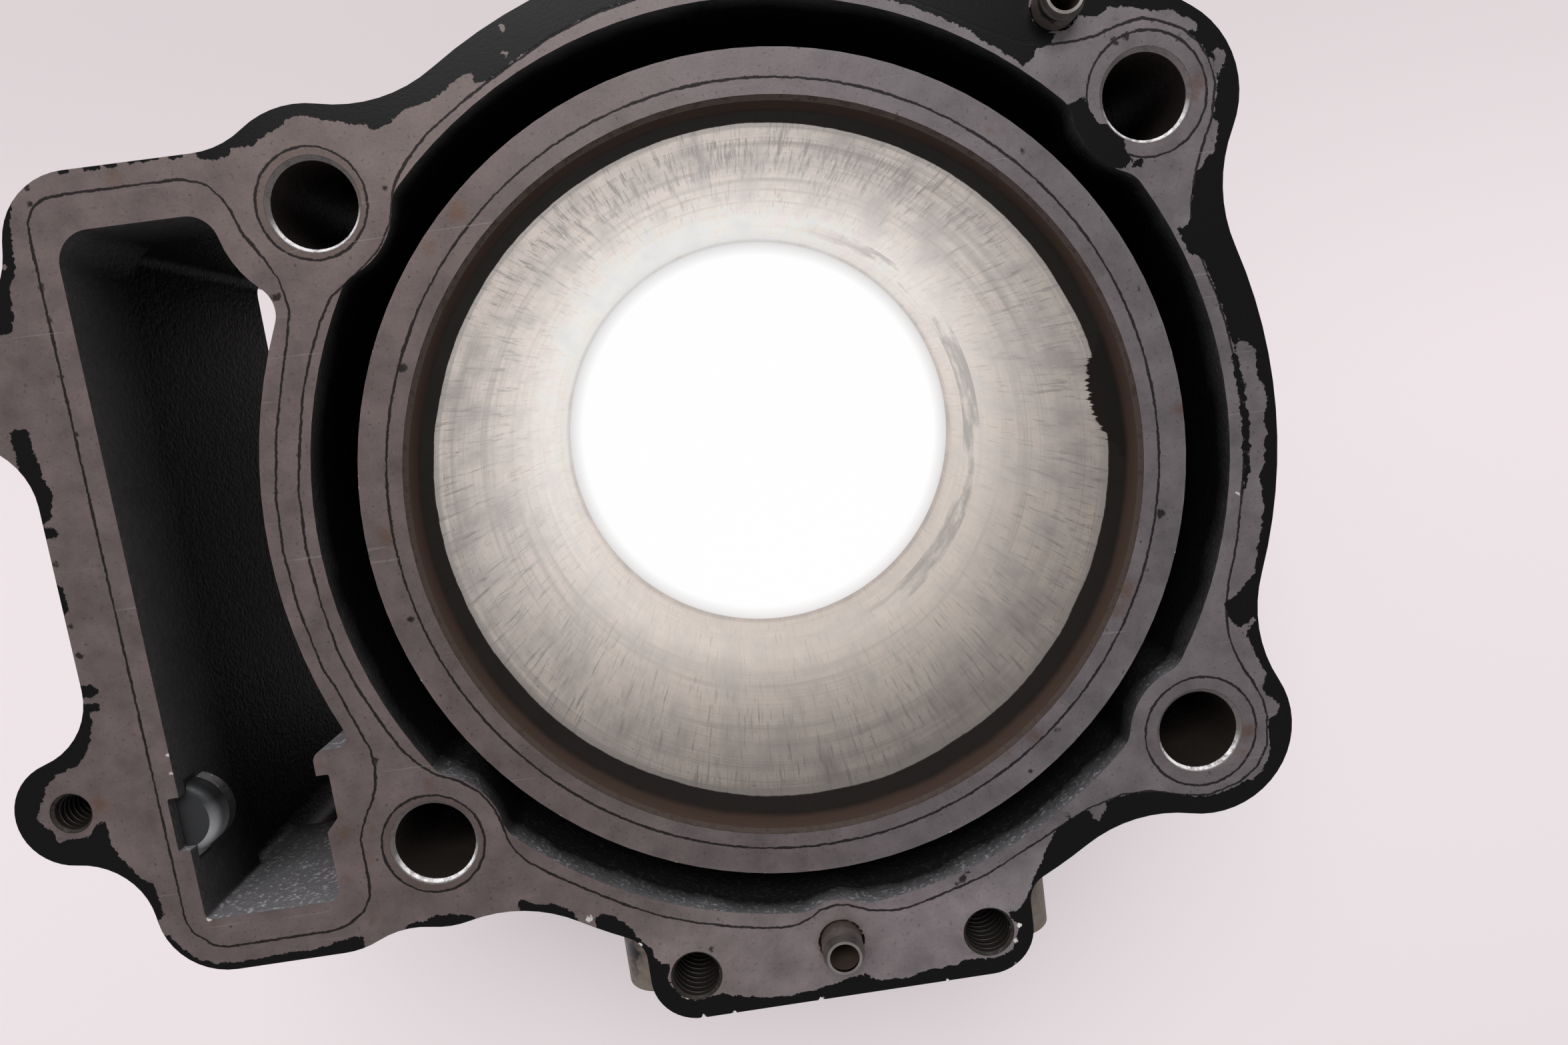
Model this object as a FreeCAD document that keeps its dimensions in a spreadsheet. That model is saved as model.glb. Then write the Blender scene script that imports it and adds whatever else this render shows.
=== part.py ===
"""Liquid-cooled engine cylinder: an open-deck aluminium casting with its two deck dowels.

The bore axis is Z. The base gasket face lies at Z = 0, the deck faces +Z and the spigot hangs
below the base. The chain tunnel is on the -X side and the dowelled ear on the -Y side.
Lengths are millimetres.
"""
import FreeCAD, Part
import math
import os

import Sketcher
from FreeCAD import Placement, Rotation, Vector

SIZES = {
    "bore_radius": (50.0, "finished bore"),
    "liner_wall": (6.5, "ring of metal between bore and water jacket"),
    "jacket_width": (6.2, "radial width of the open water jacket"),
    "jacket_depth": (64.0, "jacket floor below the deck"),
    "deck_wall": (6.7, "outer jacket wall at the deck"),
    "skin_wall": (5.0, "outer jacket wall between deck and base slabs"),
    "barrel_wall": (10.0, "plain barrel below the jacket"),
    "shoulder_rise": (9.0, "height of the cone from plain barrel to jacket wall"),
    "deck_height": (112.0, "deck above the base gasket face"),
    "deck_thickness": (17.0, "deck slab"),
    "base_thickness": (12.0, "base slab"),
    "rim_bevel": (2.5, "cast bevel under the rim of the deck slab"),
    "spigot_length": (25.0, "spigot below the base face"),
    "spigot_wall": (4.5, "wall of the spigot"),
    "spigot_lead": (1.5, "lead-in chamfer of the spigot"),
    "bore_lead": (0.6, "chamfer at both ends of the bore"),
    "bolt_reach": (7.734, "head bolt axes outside the jacket wall"),
    "bolt_angle": (38.66, "direction of the head bolts from the X axis, in degrees"),
    "bolt_hole_radius": (5.65, "clearance hole of the head bolts"),
    "bolt_boss_radius": (12.6, "deck outline round a head bolt"),
    "low_boss_shift": (0.9, "outline of the +X -Y bolt boss, moved outwards"),
    "bolt_column_radius": (10.8, "column round a head bolt between the slabs"),
    "bolt_jacket_radius": (10.1, "jacket wall round a head bolt"),
    "bolt_chamfer": (0.6, "chamfer of the head bolt holes at the deck"),
    "outline_blend": (20.0, "hollow curve between barrel and bolt boss"),
    "jacket_blend": (4.0, "curve of the jacket wall where it turns round a bolt"),
    "tunnel_lap": (0.1, "inner wall of the chain tunnel inside the barrel outline's tangent"),
    "tunnel_width": (19.1, "width of the chain tunnel"),
    "tunnel_high_reach": (0.6, "+Y end of the chain tunnel past the head bolt axis"),
    "tunnel_low_reach": (6.4, "-Y end of the chain tunnel past the head bolt axis"),
    "tunnel_corner": (4.4, "corners of the tunnel on the +Y side"),
    "tunnel_small_corner": (1.0, "outer corner of the tunnel on the -Y side"),
    "tunnel_inner_corner": (1.6, "corners of the inner tunnel wall and of its step"),
    "tunnel_boss_radius": (13.0, "tunnel wall round the head bolt on the +Y side"),
    "tunnel_hollow": (4.0, "hollow of the tunnel between barrel and bolt boss"),
    "step_reach": (7.65, "step of the inner wall towards the barrel, beside the guide seat"),
    "tunnel_relief": (1.9, "widening of the tunnel under the deck slab"),
    "tunnel_end_relief": (2.4, "widening of the -Y end of the tunnel"),
    "tunnel_end_depth": (32.0, "depth at which the -Y end widens"),
    "tunnel_rim": (9.6, "deck left outside the tunnel"),
    "tunnel_corner_rim": (6.6, "deck left outside the tunnel beside its corners"),
    "tunnel_high_rim": (7.6, "deck left past the tunnel on the +Y side"),
    "tunnel_low_rim": (7.9, "deck left past the tunnel on the -Y side"),
    "tunnel_setback": (1.0, "tunnel walls set in from the deck outline"),
    "tunnel_outline_corner": (9.5, "outline corners of the tunnel"),
    "tunnel_blend": (12.0, "hollow curves between tunnel and bolt bosses"),
    "seat_reach": (7.95, "middle of the chain guide seat beside the head bolt axis"),
    "seat_width": (7.8, "width of the guide seat"),
    "seat_corner": (0.4, "corners of the guide seat and of the slot"),
    "seat_depth": (2.0, "depth of the guide seat"),
    "seat_recess": (1.6, "guide seat let into the outer wall"),
    "seat_boss_radius": (5.3, "half-round boss under the guide seat"),
    "seat_boss_drop": (8.0, "height of the half-round boss"),
    "seat_boss_round": (1.2, "upper edge of the half-round boss"),
    "seat_boss_taper": (3.0, "lower edge of the half-round boss"),
    "slot_width": (6.7, "guide slot in the inner wall"),
    "slot_shift": (0.8, "middle of the slot past the seat's middle, towards +Y"),
    "slot_recess": (1.75, "guide slot let into the inner wall"),
    "slot_slant": (1.45, "run-out of the slot's -Y end along the wall"),
    "slot_depth": (15.0, "depth of the guide slot"),
    "window_width": (17.9, "window in the outer tunnel wall, from the tunnel's +Y end"),
    "window_low_z": (24.0, "window in the outer tunnel wall, lower edge"),
    "window_high_z": (51.0, "window in the outer tunnel wall, upper edge"),
    "window_corner": (3.0, "corners of the window"),
    "tensioner_z": (62.0, "axis of the chain tensioner thread"),
    "tensioner_radius": (9.25, "core of the M20x1.5 tensioner thread"),
    "tensioner_boss_radius": (15.0, "round boss of the tensioner"),
    "tensioner_boss_rise": (4.0, "tensioner face outside the tunnel wall"),
    "lug_reach": (14.8, "lug axes outside the chain tunnel"),
    "lug_low_setback": (11.8, "lug on the -Y side, beside the head bolt axis"),
    "lug_high_setback": (17.0, "lug on the +Y side, beside the head bolt axis"),
    "lug_radius": (7.6, "outline of a lug"),
    "lug_blend": (10.0, "hollow curve between lug and tunnel wall"),
    "lug_end_blend": (10.0, "hollow curve between lug and tunnel corner"),
    "lug_tap_radius": (2.5, "core of the M6 lug threads"),
    "lug_tap_depth": (16.0, "depth of the lug threads"),
    "ear_hole_x": (21.5, "ear threads, each side of the middle"),
    "ear_hole_reach": (0.3, "ear threads outside the barrel outline"),
    "ear_corner": (6.6, "ear outline round its threads"),
    "ear_blend": (4.0, "hollow curve between ear and barrel"),
    "ear_tap_radius": (3.35, "core of the M8 ear threads"),
    "ear_tap_depth": (20.0, "depth of the ear threads"),
    "tap_chamfer": (0.4, "chamfer of the threaded holes"),
    "dowel_radius": (3.0, "hollow dowels"),
    "dowel_bore_radius": (2.1, "hole through the dowels"),
    "dowel_length": (12.5, "length of the dowels"),
    "dowel_rise": (4.5, "dowels above the deck"),
    "dowel_lead": (0.5, "taper at each end of a dowel"),
    "dowel_lead_length": (1.1, "length of that taper"),
    "dowel_clearance": (0.01, "radial clearance of a dowel in its hole"),
    "dowel_land": (6.5, "jacket wall round the ear dowel"),
    "dowel_land_blend": (6.0, "curve of the jacket wall beside the ear dowel"),
    "ear_dowel_setback": (1.6, "ear dowel inside the barrel outline"),
    "side_dowel_back": (11.0, "side dowel beside the +X +Y head bolt, along X"),
    "side_dowel_past": (12.6, "side dowel past the +X +Y head bolt, along Y"),
    "side_dowel_boss_radius": (8.2, "outline round that dowel"),
    "side_dowel_blend": (12.0, "hollow curve between that outline and the barrel"),
    "inlet_reach": (9.6, "coolant inlet face outside the barrel outline"),
    "inlet_half_width": (34.5, "coolant inlet pad, each side of the middle"),
    "inlet_half_height": (22.0, "coolant inlet pad, above and below its axis"),
    "inlet_corner": (6.0, "corners of the inlet pad"),
    "inlet_depth": (35.0, "axis of the coolant inlet below the deck"),
    "inlet_radius": (10.0, "coolant inlet"),
    "inlet_screw_x": (25.0, "inlet threads, each side of the middle"),
    "inlet_tap_radius": (2.5, "core of the M6 inlet threads"),
    "inlet_tap_depth": (13.0, "depth of the inlet threads"),
}

PLACES = {
    "liner_radius": ("sizes.bore_radius + sizes.liner_wall", "inner wall of the water jacket"),
    "jacket_radius": ("liner_radius + sizes.jacket_width", "outer wall of the water jacket"),
    "skin_radius": ("jacket_radius + sizes.skin_wall", "outside between the slabs"),
    "deck_radius": ("jacket_radius + sizes.deck_wall", "deck outline round the barrel"),
    "barrel_radius": ("sizes.bore_radius + sizes.barrel_wall", "outside below the jacket"),
    "spigot_radius": ("sizes.bore_radius + sizes.spigot_wall", "outside of the spigot"),
    "under_deck": ("sizes.deck_height - sizes.deck_thickness", "underside of the deck slab"),
    "between": ("under_deck - sizes.base_thickness", "height between the slabs"),
    "bolt_x": ("(jacket_radius + sizes.bolt_reach) * cos(sizes.bolt_angle)", "head bolts"),
    "bolt_y": ("(jacket_radius + sizes.bolt_reach) * sin(sizes.bolt_angle)", "head bolts"),
    "tunnel_inner_x": ("deck_radius - sizes.tunnel_lap", "inner tunnel wall at the seat"),
    "tunnel_outer_x": ("tunnel_inner_x + sizes.tunnel_width", "outer tunnel wall"),
    "tunnel_middle_x": ("(tunnel_inner_x + tunnel_outer_x) / 2", "middle of the tunnel"),
    "tunnel_high_y": ("bolt_y + sizes.tunnel_high_reach", "+Y end of the tunnel"),
    "tunnel_low_y": ("bolt_y + sizes.tunnel_low_reach", "-Y end of the tunnel"),
    "tunnel_face_y": ("tunnel_high_y + sizes.tunnel_high_rim - sizes.tunnel_setback", "+Y wall"),
    "tensioner_y": ("tunnel_face_y + sizes.tensioner_boss_rise", "face of the tensioner boss"),
    "seat_y": ("bolt_y - sizes.seat_reach", "middle of the guide seat"),
    "seat_boss_x": ("tunnel_outer_x + sizes.seat_recess", "axis of the half-round boss"),
    "step_y": ("seat_y - sizes.step_reach", "step of the inner tunnel wall"),
    "lug_x": ("tunnel_outer_x + sizes.lug_reach", "lug axes"),
    "lug_low_y": ("bolt_y - sizes.lug_low_setback", "lug on the -Y side"),
    "lug_high_y": ("bolt_y - sizes.lug_high_setback", "lug on the +Y side"),
    "ear_hole_y": ("deck_radius + sizes.ear_hole_reach", "ear threads"),
    "ear_dowel_y": ("deck_radius - sizes.ear_dowel_setback", "ear dowel"),
    "side_dowel_x": ("bolt_x - sizes.side_dowel_back", "side dowel"),
    "side_dowel_y": ("bolt_y + sizes.side_dowel_past", "side dowel"),
    "dowel_hole_radius": ("sizes.dowel_radius + sizes.dowel_clearance", "hole of a dowel"),
    "dowel_depth": ("sizes.dowel_length - sizes.dowel_rise", "dowel below the deck"),
    "inlet_face_y": ("deck_radius + sizes.inlet_reach", "face of the coolant inlet"),
    "inlet_axis_z": ("sizes.deck_height - sizes.inlet_depth", "axis of the coolant inlet"),
}

# The aliases of the hole centres.
BOLTS = [("-bolt_x", "-bolt_y"), ("-bolt_x", "bolt_y"), ("bolt_x", "-bolt_y"), ("bolt_x", "bolt_y")]
EAR_SCREWS = [("-ear_hole_x", "-ear_hole_y"), ("ear_hole_x", "-ear_hole_y")]
LUGS = [("-lug_x", "-lug_low_y"), ("-lug_x", "lug_high_y")]
DOWELS = [("", "-ear_dowel_y"), ("side_dowel_x", "side_dowel_y")]
INLET_SCREWS = [("-inlet_screw_x", "inlet_axis_z"), ("inlet_screw_x", "inlet_axis_z")]
TENSIONER = [("-tunnel_middle_x", "tensioner_z")]

LEFT_TURN = 1
RIGHT_TURN = -1
# Turns that touch without a line between them, and lines too short to draw.
TOUCH = 1e-6
# Edges that lie at a height or have a radius.
SAME = 1e-4


class Sheets:
    """The sheet of driving sizes and the sheet of places worked out from them."""

    def __init__(self, document):
        self.sizes = document.addObject("Spreadsheet::Sheet", "sizes")
        self.fill(self.sizes, SIZES, "")
        self.places = document.addObject("Spreadsheet::Sheet", "places")
        self.fill(self.places, PLACES, "=")
        document.recompute()

    @staticmethod
    def fill(sheet, rows, sign):
        """Write a row for each alias: its name, its number or formula, and its note."""
        for row, (alias, (content, note)) in enumerate(rows.items(), start=1):
            sheet.set(f"A{row}", alias)
            sheet.set(f"B{row}", f"{sign}{content}")
            sheet.set(f"C{row}", note)
            sheet.setAlias(f"B{row}", alias)

    def __getattr__(self, alias):
        return float(getattr(self.places if alias in PLACES else self.sizes, alias))

    def bound(self, signed_alias):
        """Return the number of an alias, or of its negative, and the expression for it."""
        sign, alias = ("-", signed_alias[1:]) if signed_alias[0] == "-" else ("", signed_alias)
        number = -getattr(self, alias) if sign else getattr(self, alias)
        return number, f"{sign}{'places' if alias in PLACES else 'sizes'}.{alias}"


class Turn:
    """One round stretch of an outline: a circle and the way the outline turns along it."""

    def __init__(self, x, y, radius, way=LEFT_TURN):
        self.centre = Vector(x, y, 0)
        self.radius = radius
        self.way = way


def blend(first, second, radius, way, side):
    """Return the turn of the given radius that touches both turns.

    It touches a turn of its own way from inside and one of the other way from outside.
    side is 1 where its centre lies left of the line from first to second, else -1.
    """
    reach_first = abs(first.way * first.radius - way * radius)
    reach_second = abs(second.way * second.radius - way * radius)
    apart = second.centre - first.centre
    along = (apart.Length ** 2 + reach_first ** 2 - reach_second ** 2) / (2 * apart.Length)
    across = math.sqrt(reach_first ** 2 - along ** 2)
    unit = apart / apart.Length
    left = Vector(-unit.y, unit.x, 0)
    centre = first.centre + unit * along + left * (side * across)
    return Turn(centre.x, centre.y, radius, way)


def beside_upright(line_x, turn, radius, way, above):
    """Return the turn that touches the upright line at line_x and the given turn.

    Its centre lies outside the line (towards -X) and above or below the turn's centre.
    """
    x = line_x - radius
    reach = abs(turn.way * turn.radius - way * radius)
    rise = math.sqrt(reach ** 2 - (x - turn.centre.x) ** 2)
    return Turn(x, turn.centre.y + (rise if above else -rise), radius, way)


def closed_outline(turns):
    """Return the edges of the closed outline that follows the turns, joined by tangent lines."""
    tangents = []
    for first, second in zip(turns, turns[1:] + turns[:1]):
        apart = second.centre - first.centre
        share = (first.way * first.radius - second.way * second.radius) / apart.Length
        if abs(abs(share) - 1) < TOUCH:
            share = math.copysign(1, share)
        angle = math.atan2(apart.y, apart.x) - math.acos(share)
        outward = Vector(math.cos(angle), math.sin(angle), 0)
        leave = first.centre + outward * (first.way * first.radius)
        reach = second.centre + outward * (second.way * second.radius)
        tangents.append((leave, reach))
    edges = []
    for index, turn in enumerate(turns):
        start = tangents[index - 1][1]
        leave, reach = tangents[index]
        a = math.atan2(start.y - turn.centre.y, start.x - turn.centre.x)
        b = math.atan2(leave.y - turn.centre.y, leave.x - turn.centre.x)
        if turn.way == RIGHT_TURN:
            a, b = b, a
        while b < a:
            b += 2 * math.pi
        circle = Part.Circle(turn.centre, Vector(0, 0, 1), turn.radius)
        edges.append(Part.ArcOfCircle(circle, a, b))
        if leave.distanceToPoint(reach) > TOUCH:
            edges.append(Part.LineSegment(leave, reach))
    return edges


def origin_plane(body, role):
    """Return the body's own origin plane of this role."""
    return next(item for item in body.Origin.OriginFeatures if item.Role == role)


def rounded_box(low_x, low_y, high_x, high_y, radius):
    """Return the turns of a rectangle with rounded corners."""
    return [
        Turn(low_x + radius, low_y + radius, radius),
        Turn(high_x - radius, low_y + radius, radius),
        Turn(high_x - radius, high_y - radius, radius),
        Turn(low_x + radius, high_y - radius, radius),
    ]


class Casting:
    """The one-piece casting, built feature by feature in a single body."""

    def __init__(self, document, size):
        self.document = document
        self.size = size
        self.body = document.addObject("PartDesign::Body", "cylinder_casting")
        self.body.Label = "cylinder_casting"
        self.body.Placement = Placement()

    def sketch(self, name, role, offset, edges):
        """Add a sketch on an origin plane, moved along its normal by the offset expression."""
        sketch = self.body.newObject("Sketcher::SketchObject", name)
        sketch.AttachmentSupport = [(origin_plane(self.body, role), "")]
        sketch.MapMode = "FlatFace"
        sketch.setExpression("AttachmentOffset.Base.z", offset)
        sketch.addGeometry(edges, False)
        return sketch

    def circles(self, name, role, offset, spots, radius):
        """Add a sketch of circles whose centres and radius are bound to the sheets.

        Each spot is the two aliases of a centre. An empty one lies on the axis.
        """
        width, width_text = self.size.bound(radius)
        centres = [[self.size.bound(alias) if alias else (0.0, "0") for alias in spot] for spot in spots]
        up = Vector(0, 0, 1)
        rims = [Part.Circle(Vector(x[0], y[0], 0), up, width) for x, y in centres]
        sketch = self.sketch(name, role, offset, rims)
        for index, (x, y) in enumerate(centres):
            across = Sketcher.Constraint("DistanceX", -1, 1, index, 3, x[0])
            along = Sketcher.Constraint("DistanceY", -1, 1, index, 3, y[0])
            rim = Sketcher.Constraint("Radius", index, width)
            for constraint, text in ((across, x[1]), (along, y[1]), (rim, width_text)):
                number = sketch.addConstraint(constraint)
                sketch.setExpression(f"Constraints[{number}]", text)
        return sketch

    def pad(self, name, sketch, length, downward=False):
        """Raise the sketch along its normal, or against it where downward is set."""
        feature = self.body.newObject("PartDesign::Pad", name)
        feature.Profile = sketch
        feature.Refine = False
        feature.setExpression("Length", length)
        feature.Reversed = downward
        return self.finish(feature, adds=True)

    def pocket(self, name, sketch, length=None, along_normal=False):
        """Cut the sketch into the casting, right through where no length is given."""
        feature = self.body.newObject("PartDesign::Pocket", name)
        feature.Profile = sketch
        feature.Refine = False
        feature.Reversed = along_normal
        if length is None:
            feature.Type = "ThroughAll"
        else:
            feature.setExpression("Length", length)
        return self.finish(feature, adds=False)

    def finish(self, feature, adds):
        """Recompute and make sure that the feature added or removed material."""
        before = feature.BaseFeature.Shape.Volume if feature.BaseFeature else 0.0
        self.document.recompute()
        for sketch in feature.OutList:
            if sketch.isDerivedFrom("Sketcher::SketchObject"):
                sketch.Visibility = False
        change = feature.Shape.Volume - before
        if (change > 0) != adds:
            raise RuntimeError(f"{feature.Name} changed the volume by {change:.3f}")
        return feature

    def edges_where(self, test):
        """Return the names of the edges of the finished shape so far that pass the test."""
        shape = self.body.Tip.Shape
        return [f"Edge{number}" for number, edge in enumerate(shape.Edges, start=1) if test(edge)]

    def dress(self, kind, name, test, size_name, property_name):
        """Fillet or chamfer the edges that pass the test."""
        names = self.edges_where(test)
        if not names:
            raise RuntimeError(f"{name} found no edge")
        base = self.body.Tip
        feature = self.body.newObject(kind, name)
        feature.Base = (base, names)
        feature.setExpression(property_name, f"sizes.{size_name}")
        self.document.recompute()
        return feature

    def fillet(self, name, test, size_name):
        return self.dress("PartDesign::Fillet", name, test, size_name, "Radius")

    def chamfer(self, name, test, size_name):
        return self.dress("PartDesign::Chamfer", name, test, size_name, "Size")

    def bolt(self, x_side, y_side, radius, way=LEFT_TURN):
        """Return a turn about one of the head bolts."""
        return Turn(x_side * self.size.bolt_x, y_side * self.size.bolt_y, radius, way)

    def outline(self, with_ears):
        """Return the turns of the slab outline, with or without ear, lugs and dowel boss."""
        s = self.size
        barrel = Turn(0, 0, self.size.deck_radius)
        low_right = Turn(s.bolt_x + s.low_boss_shift, -s.bolt_y, s.bolt_boss_radius)
        high_right = self.bolt(1, 1, s.bolt_boss_radius)
        high_left = self.bolt(-1, 1, s.bolt_boss_radius)
        low_left = self.bolt(-1, -1, s.bolt_boss_radius)
        hollow = s.outline_blend
        turns = [low_right]
        turns += [blend(low_right, barrel, hollow, RIGHT_TURN, -1), barrel]
        turns += [blend(barrel, high_right, hollow, RIGHT_TURN, -1), high_right]
        if with_ears:
            boss = Turn(s.side_dowel_x, s.side_dowel_y, s.side_dowel_boss_radius)
            turns += [boss, blend(boss, barrel, s.side_dowel_blend, RIGHT_TURN, -1)]
        else:
            turns += [blend(high_right, barrel, hollow, RIGHT_TURN, -1)]
        turns += [barrel, blend(barrel, high_left, hollow, RIGHT_TURN, -1), high_left]
        turns += self.tunnel_outline(high_left, low_left, with_ears)
        turns += [low_left, blend(low_left, barrel, hollow, RIGHT_TURN, -1), barrel]
        if with_ears:
            turns += self.ear_outline(barrel)
        turns += [blend(barrel, low_right, hollow, RIGHT_TURN, -1)]
        return turns

    def tunnel_outline(self, high_left, low_left, with_lugs):
        """Return the turns round the chain tunnel, from its +Y bolt boss to its -Y one."""
        s = self.size
        top = s.tunnel_high_y + s.tunnel_high_rim
        bottom = -s.tunnel_low_y - s.tunnel_low_rim
        corner_x = -s.tunnel_outer_x - s.tunnel_corner_rim
        side_x = -s.tunnel_outer_x - s.tunnel_rim
        corner = s.tunnel_outline_corner
        turn = s.tunnel_blend
        reach = s.bolt_boss_radius + turn
        drop = math.sqrt(reach ** 2 - (top + turn - high_left.centre.y) ** 2)
        shoulder = Turn(high_left.centre.x - drop, top + turn, turn, RIGHT_TURN)
        heel = Turn(-s.tunnel_inner_x - s.tunnel_small_corner, bottom + turn, turn)
        rise = blend(heel, low_left, turn, RIGHT_TURN, -1)
        turns = [shoulder, Turn(corner_x + corner, top - corner, corner)]
        if with_lugs:
            high_lug = Turn(-s.lug_x, s.lug_high_y, s.lug_radius)
            low_lug = Turn(-s.lug_x, -s.lug_low_y, s.lug_radius)
            turns += [
                beside_upright(corner_x, high_lug, s.lug_end_blend, RIGHT_TURN, above=True),
                high_lug,
                beside_upright(side_x, high_lug, s.lug_blend, RIGHT_TURN, above=False),
                beside_upright(side_x, low_lug, s.lug_blend, RIGHT_TURN, above=True),
                low_lug,
                beside_upright(corner_x, low_lug, s.lug_end_blend, RIGHT_TURN, above=False),
            ]
        turns += [Turn(corner_x + corner, bottom + corner, corner), heel, rise]
        return turns

    def ear_outline(self, barrel):
        """Return the turns of the ear that carries the dowel and the two threads."""
        s = self.size
        corner_left = Turn(-s.ear_hole_x, -s.ear_hole_y, s.ear_corner)
        side_x = -s.ear_hole_x - s.ear_corner
        root_left = beside_upright(side_x, barrel, s.ear_blend, RIGHT_TURN, above=False)
        corner_right = Turn(s.ear_hole_x, -s.ear_hole_y, s.ear_corner)
        root_right = Turn(-root_left.centre.x, root_left.centre.y, s.ear_blend, RIGHT_TURN)
        return [root_left, corner_left, corner_right, root_right, barrel]

    def jacket_outline(self):
        """Return the turns of the jacket's outer wall, which steps in round bolts and dowel."""
        s = self.size
        wall = Turn(0, 0, s.jacket_radius)
        dowel = Turn(0, -s.ear_dowel_y, s.dowel_land, RIGHT_TURN)
        stops = [(dowel, s.dowel_land_blend)]
        for x_side, y_side in ((1, -1), (1, 1), (-1, 1), (-1, -1)):
            stops.append((self.bolt(x_side, y_side, s.bolt_jacket_radius, RIGHT_TURN), s.jacket_blend))
        turns = []
        for stop, radius in stops:
            turns += [
                blend(wall, stop, radius, LEFT_TURN, -1),
                stop,
                blend(wall, stop, radius, LEFT_TURN, 1),
                wall,
            ]
        return turns

    def tunnel_opening(self):
        """Return the turns of the chain tunnel as it opens at the deck."""
        s = self.size
        small = s.tunnel_small_corner
        corner = s.tunnel_inner_corner
        barrel = Turn(0, 0, s.deck_radius, RIGHT_TURN)
        boss = self.bolt(-1, 1, s.tunnel_boss_radius, RIGHT_TURN)
        turn_y = -s.step_y + corner
        turn_x = -math.sqrt((barrel.radius + corner) ** 2 - turn_y ** 2)
        high = s.tunnel_hollow
        high_y = s.tunnel_high_y - high
        high_x = boss.centre.x - math.sqrt((boss.radius + high) ** 2 - (high_y - boss.centre.y) ** 2)
        return [
            Turn(-s.tunnel_inner_x - corner, -s.tunnel_low_y + corner, corner),
            Turn(-s.tunnel_inner_x + corner, -s.step_y - corner, corner, RIGHT_TURN),
            Turn(turn_x, turn_y, corner),
            barrel,
            blend(barrel, boss, high, LEFT_TURN, 1),
            boss,
            Turn(high_x, high_y, high),
            Turn(-s.tunnel_outer_x + s.tunnel_corner, s.tunnel_high_y - s.tunnel_corner, s.tunnel_corner),
            Turn(-s.tunnel_outer_x + small, -s.tunnel_low_y + small, small),
        ]

    def build_slabs(self):
        """Pad the deck slab with its cast underside, the barrel and the base slab."""
        deck = self.sketch(
            "deck_outline", "XY_Plane", "sizes.deck_height", closed_outline(self.outline(with_ears=True))
        )
        self.pad("deck_slab", deck, "sizes.deck_thickness", downward=True)
        under_deck = self.size.under_deck
        self.chamfer("deck_underside", lambda edge: self.lies_at(edge, under_deck), "rim_bevel")
        self.build_barrel()
        base = self.sketch(
            "base_outline", "XY_Plane", "0 mm", closed_outline(self.outline(with_ears=False))
        )
        self.pad("base_slab", base, "sizes.base_thickness")

    def build_barrel(self):
        """Revolve barrel and spigot as one solid that the bore is cut from later."""
        s = self.size
        shoulder = s.deck_height - s.jacket_depth - s.skin_wall
        profile = [
            (0, -s.spigot_length),
            (s.spigot_radius - s.spigot_lead, -s.spigot_length),
            (s.spigot_radius, -s.spigot_length + s.spigot_lead),
            (s.spigot_radius, 0),
            (s.barrel_radius, 0),
            (s.barrel_radius, shoulder - s.shoulder_rise),
            (s.skin_radius, shoulder),
            (s.skin_radius, s.deck_height),
            (0, s.deck_height),
        ]
        corners = [Vector(x, y, 0) for x, y in profile]
        edges = [Part.LineSegment(a, b) for a, b in zip(corners, corners[1:] + corners[:1])]
        sketch = self.sketch("barrel_profile", "XZ_Plane", "0 mm", edges)
        feature = self.body.newObject("PartDesign::Revolution", "barrel")
        feature.Profile = sketch
        feature.ReferenceAxis = (sketch, ["V_Axis"])
        feature.Angle = 360
        self.finish(feature, adds=True)

    def build_walls(self):
        """Pad the bolt columns and the walls of the chain tunnel between the slabs."""
        s = self.size
        floor = "sizes.base_thickness"
        columns = self.circles("bolt_columns", "XY_Plane", floor, BOLTS, "bolt_column_radius")
        self.pad("columns", columns, "places.between")
        setback = s.tunnel_setback
        box = rounded_box(
            -s.tunnel_outer_x - s.tunnel_corner_rim + setback,
            -s.tunnel_low_y - s.tunnel_low_rim + setback,
            -s.bolt_x,
            s.tunnel_face_y,
            s.tunnel_outline_corner - setback,
        )
        walls = self.sketch("tunnel_walls", "XY_Plane", floor, closed_outline(box))
        self.pad("tunnel_box", walls, "places.between")

    def build_inlet_pad(self):
        """Pad the coolant inlet boss under the ear."""
        s = self.size
        pad = rounded_box(
            -s.inlet_half_width,
            s.inlet_axis_z - s.inlet_half_height,
            s.inlet_half_width,
            s.inlet_axis_z + s.inlet_half_height,
            s.inlet_corner,
        )
        sketch = self.sketch("inlet_outline", "XZ_Plane", "places.inlet_face_y", closed_outline(pad))
        self.pad("inlet_pad", sketch, "places.inlet_face_y - places.liner_radius", downward=True)

    def build_tensioner_boss(self):
        """Pad the round boss of the chain tensioner on the +Y end of the tunnel."""
        boss = self.circles(
            "tensioner_outline", "XZ_Plane", "-places.tensioner_y", TENSIONER, "tensioner_boss_radius"
        )
        self.pad("tensioner_boss", boss, "places.tensioner_y - places.tunnel_high_y")

    def cut_bore_and_jacket(self):
        """Cut the bore right through and the open water jacket down to its floor."""
        bore = self.circles("bore_circle", "XY_Plane", "sizes.deck_height", [("", "")], "bore_radius")
        self.pocket("bore", bore)
        ring = Part.Circle(Vector(), Vector(0, 0, 1), self.size.liner_radius)
        edges = closed_outline(self.jacket_outline()) + [ring]
        jacket = self.sketch("jacket_outline", "XY_Plane", "sizes.deck_height", edges)
        self.pocket("water_jacket", jacket, "sizes.jacket_depth")

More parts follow.
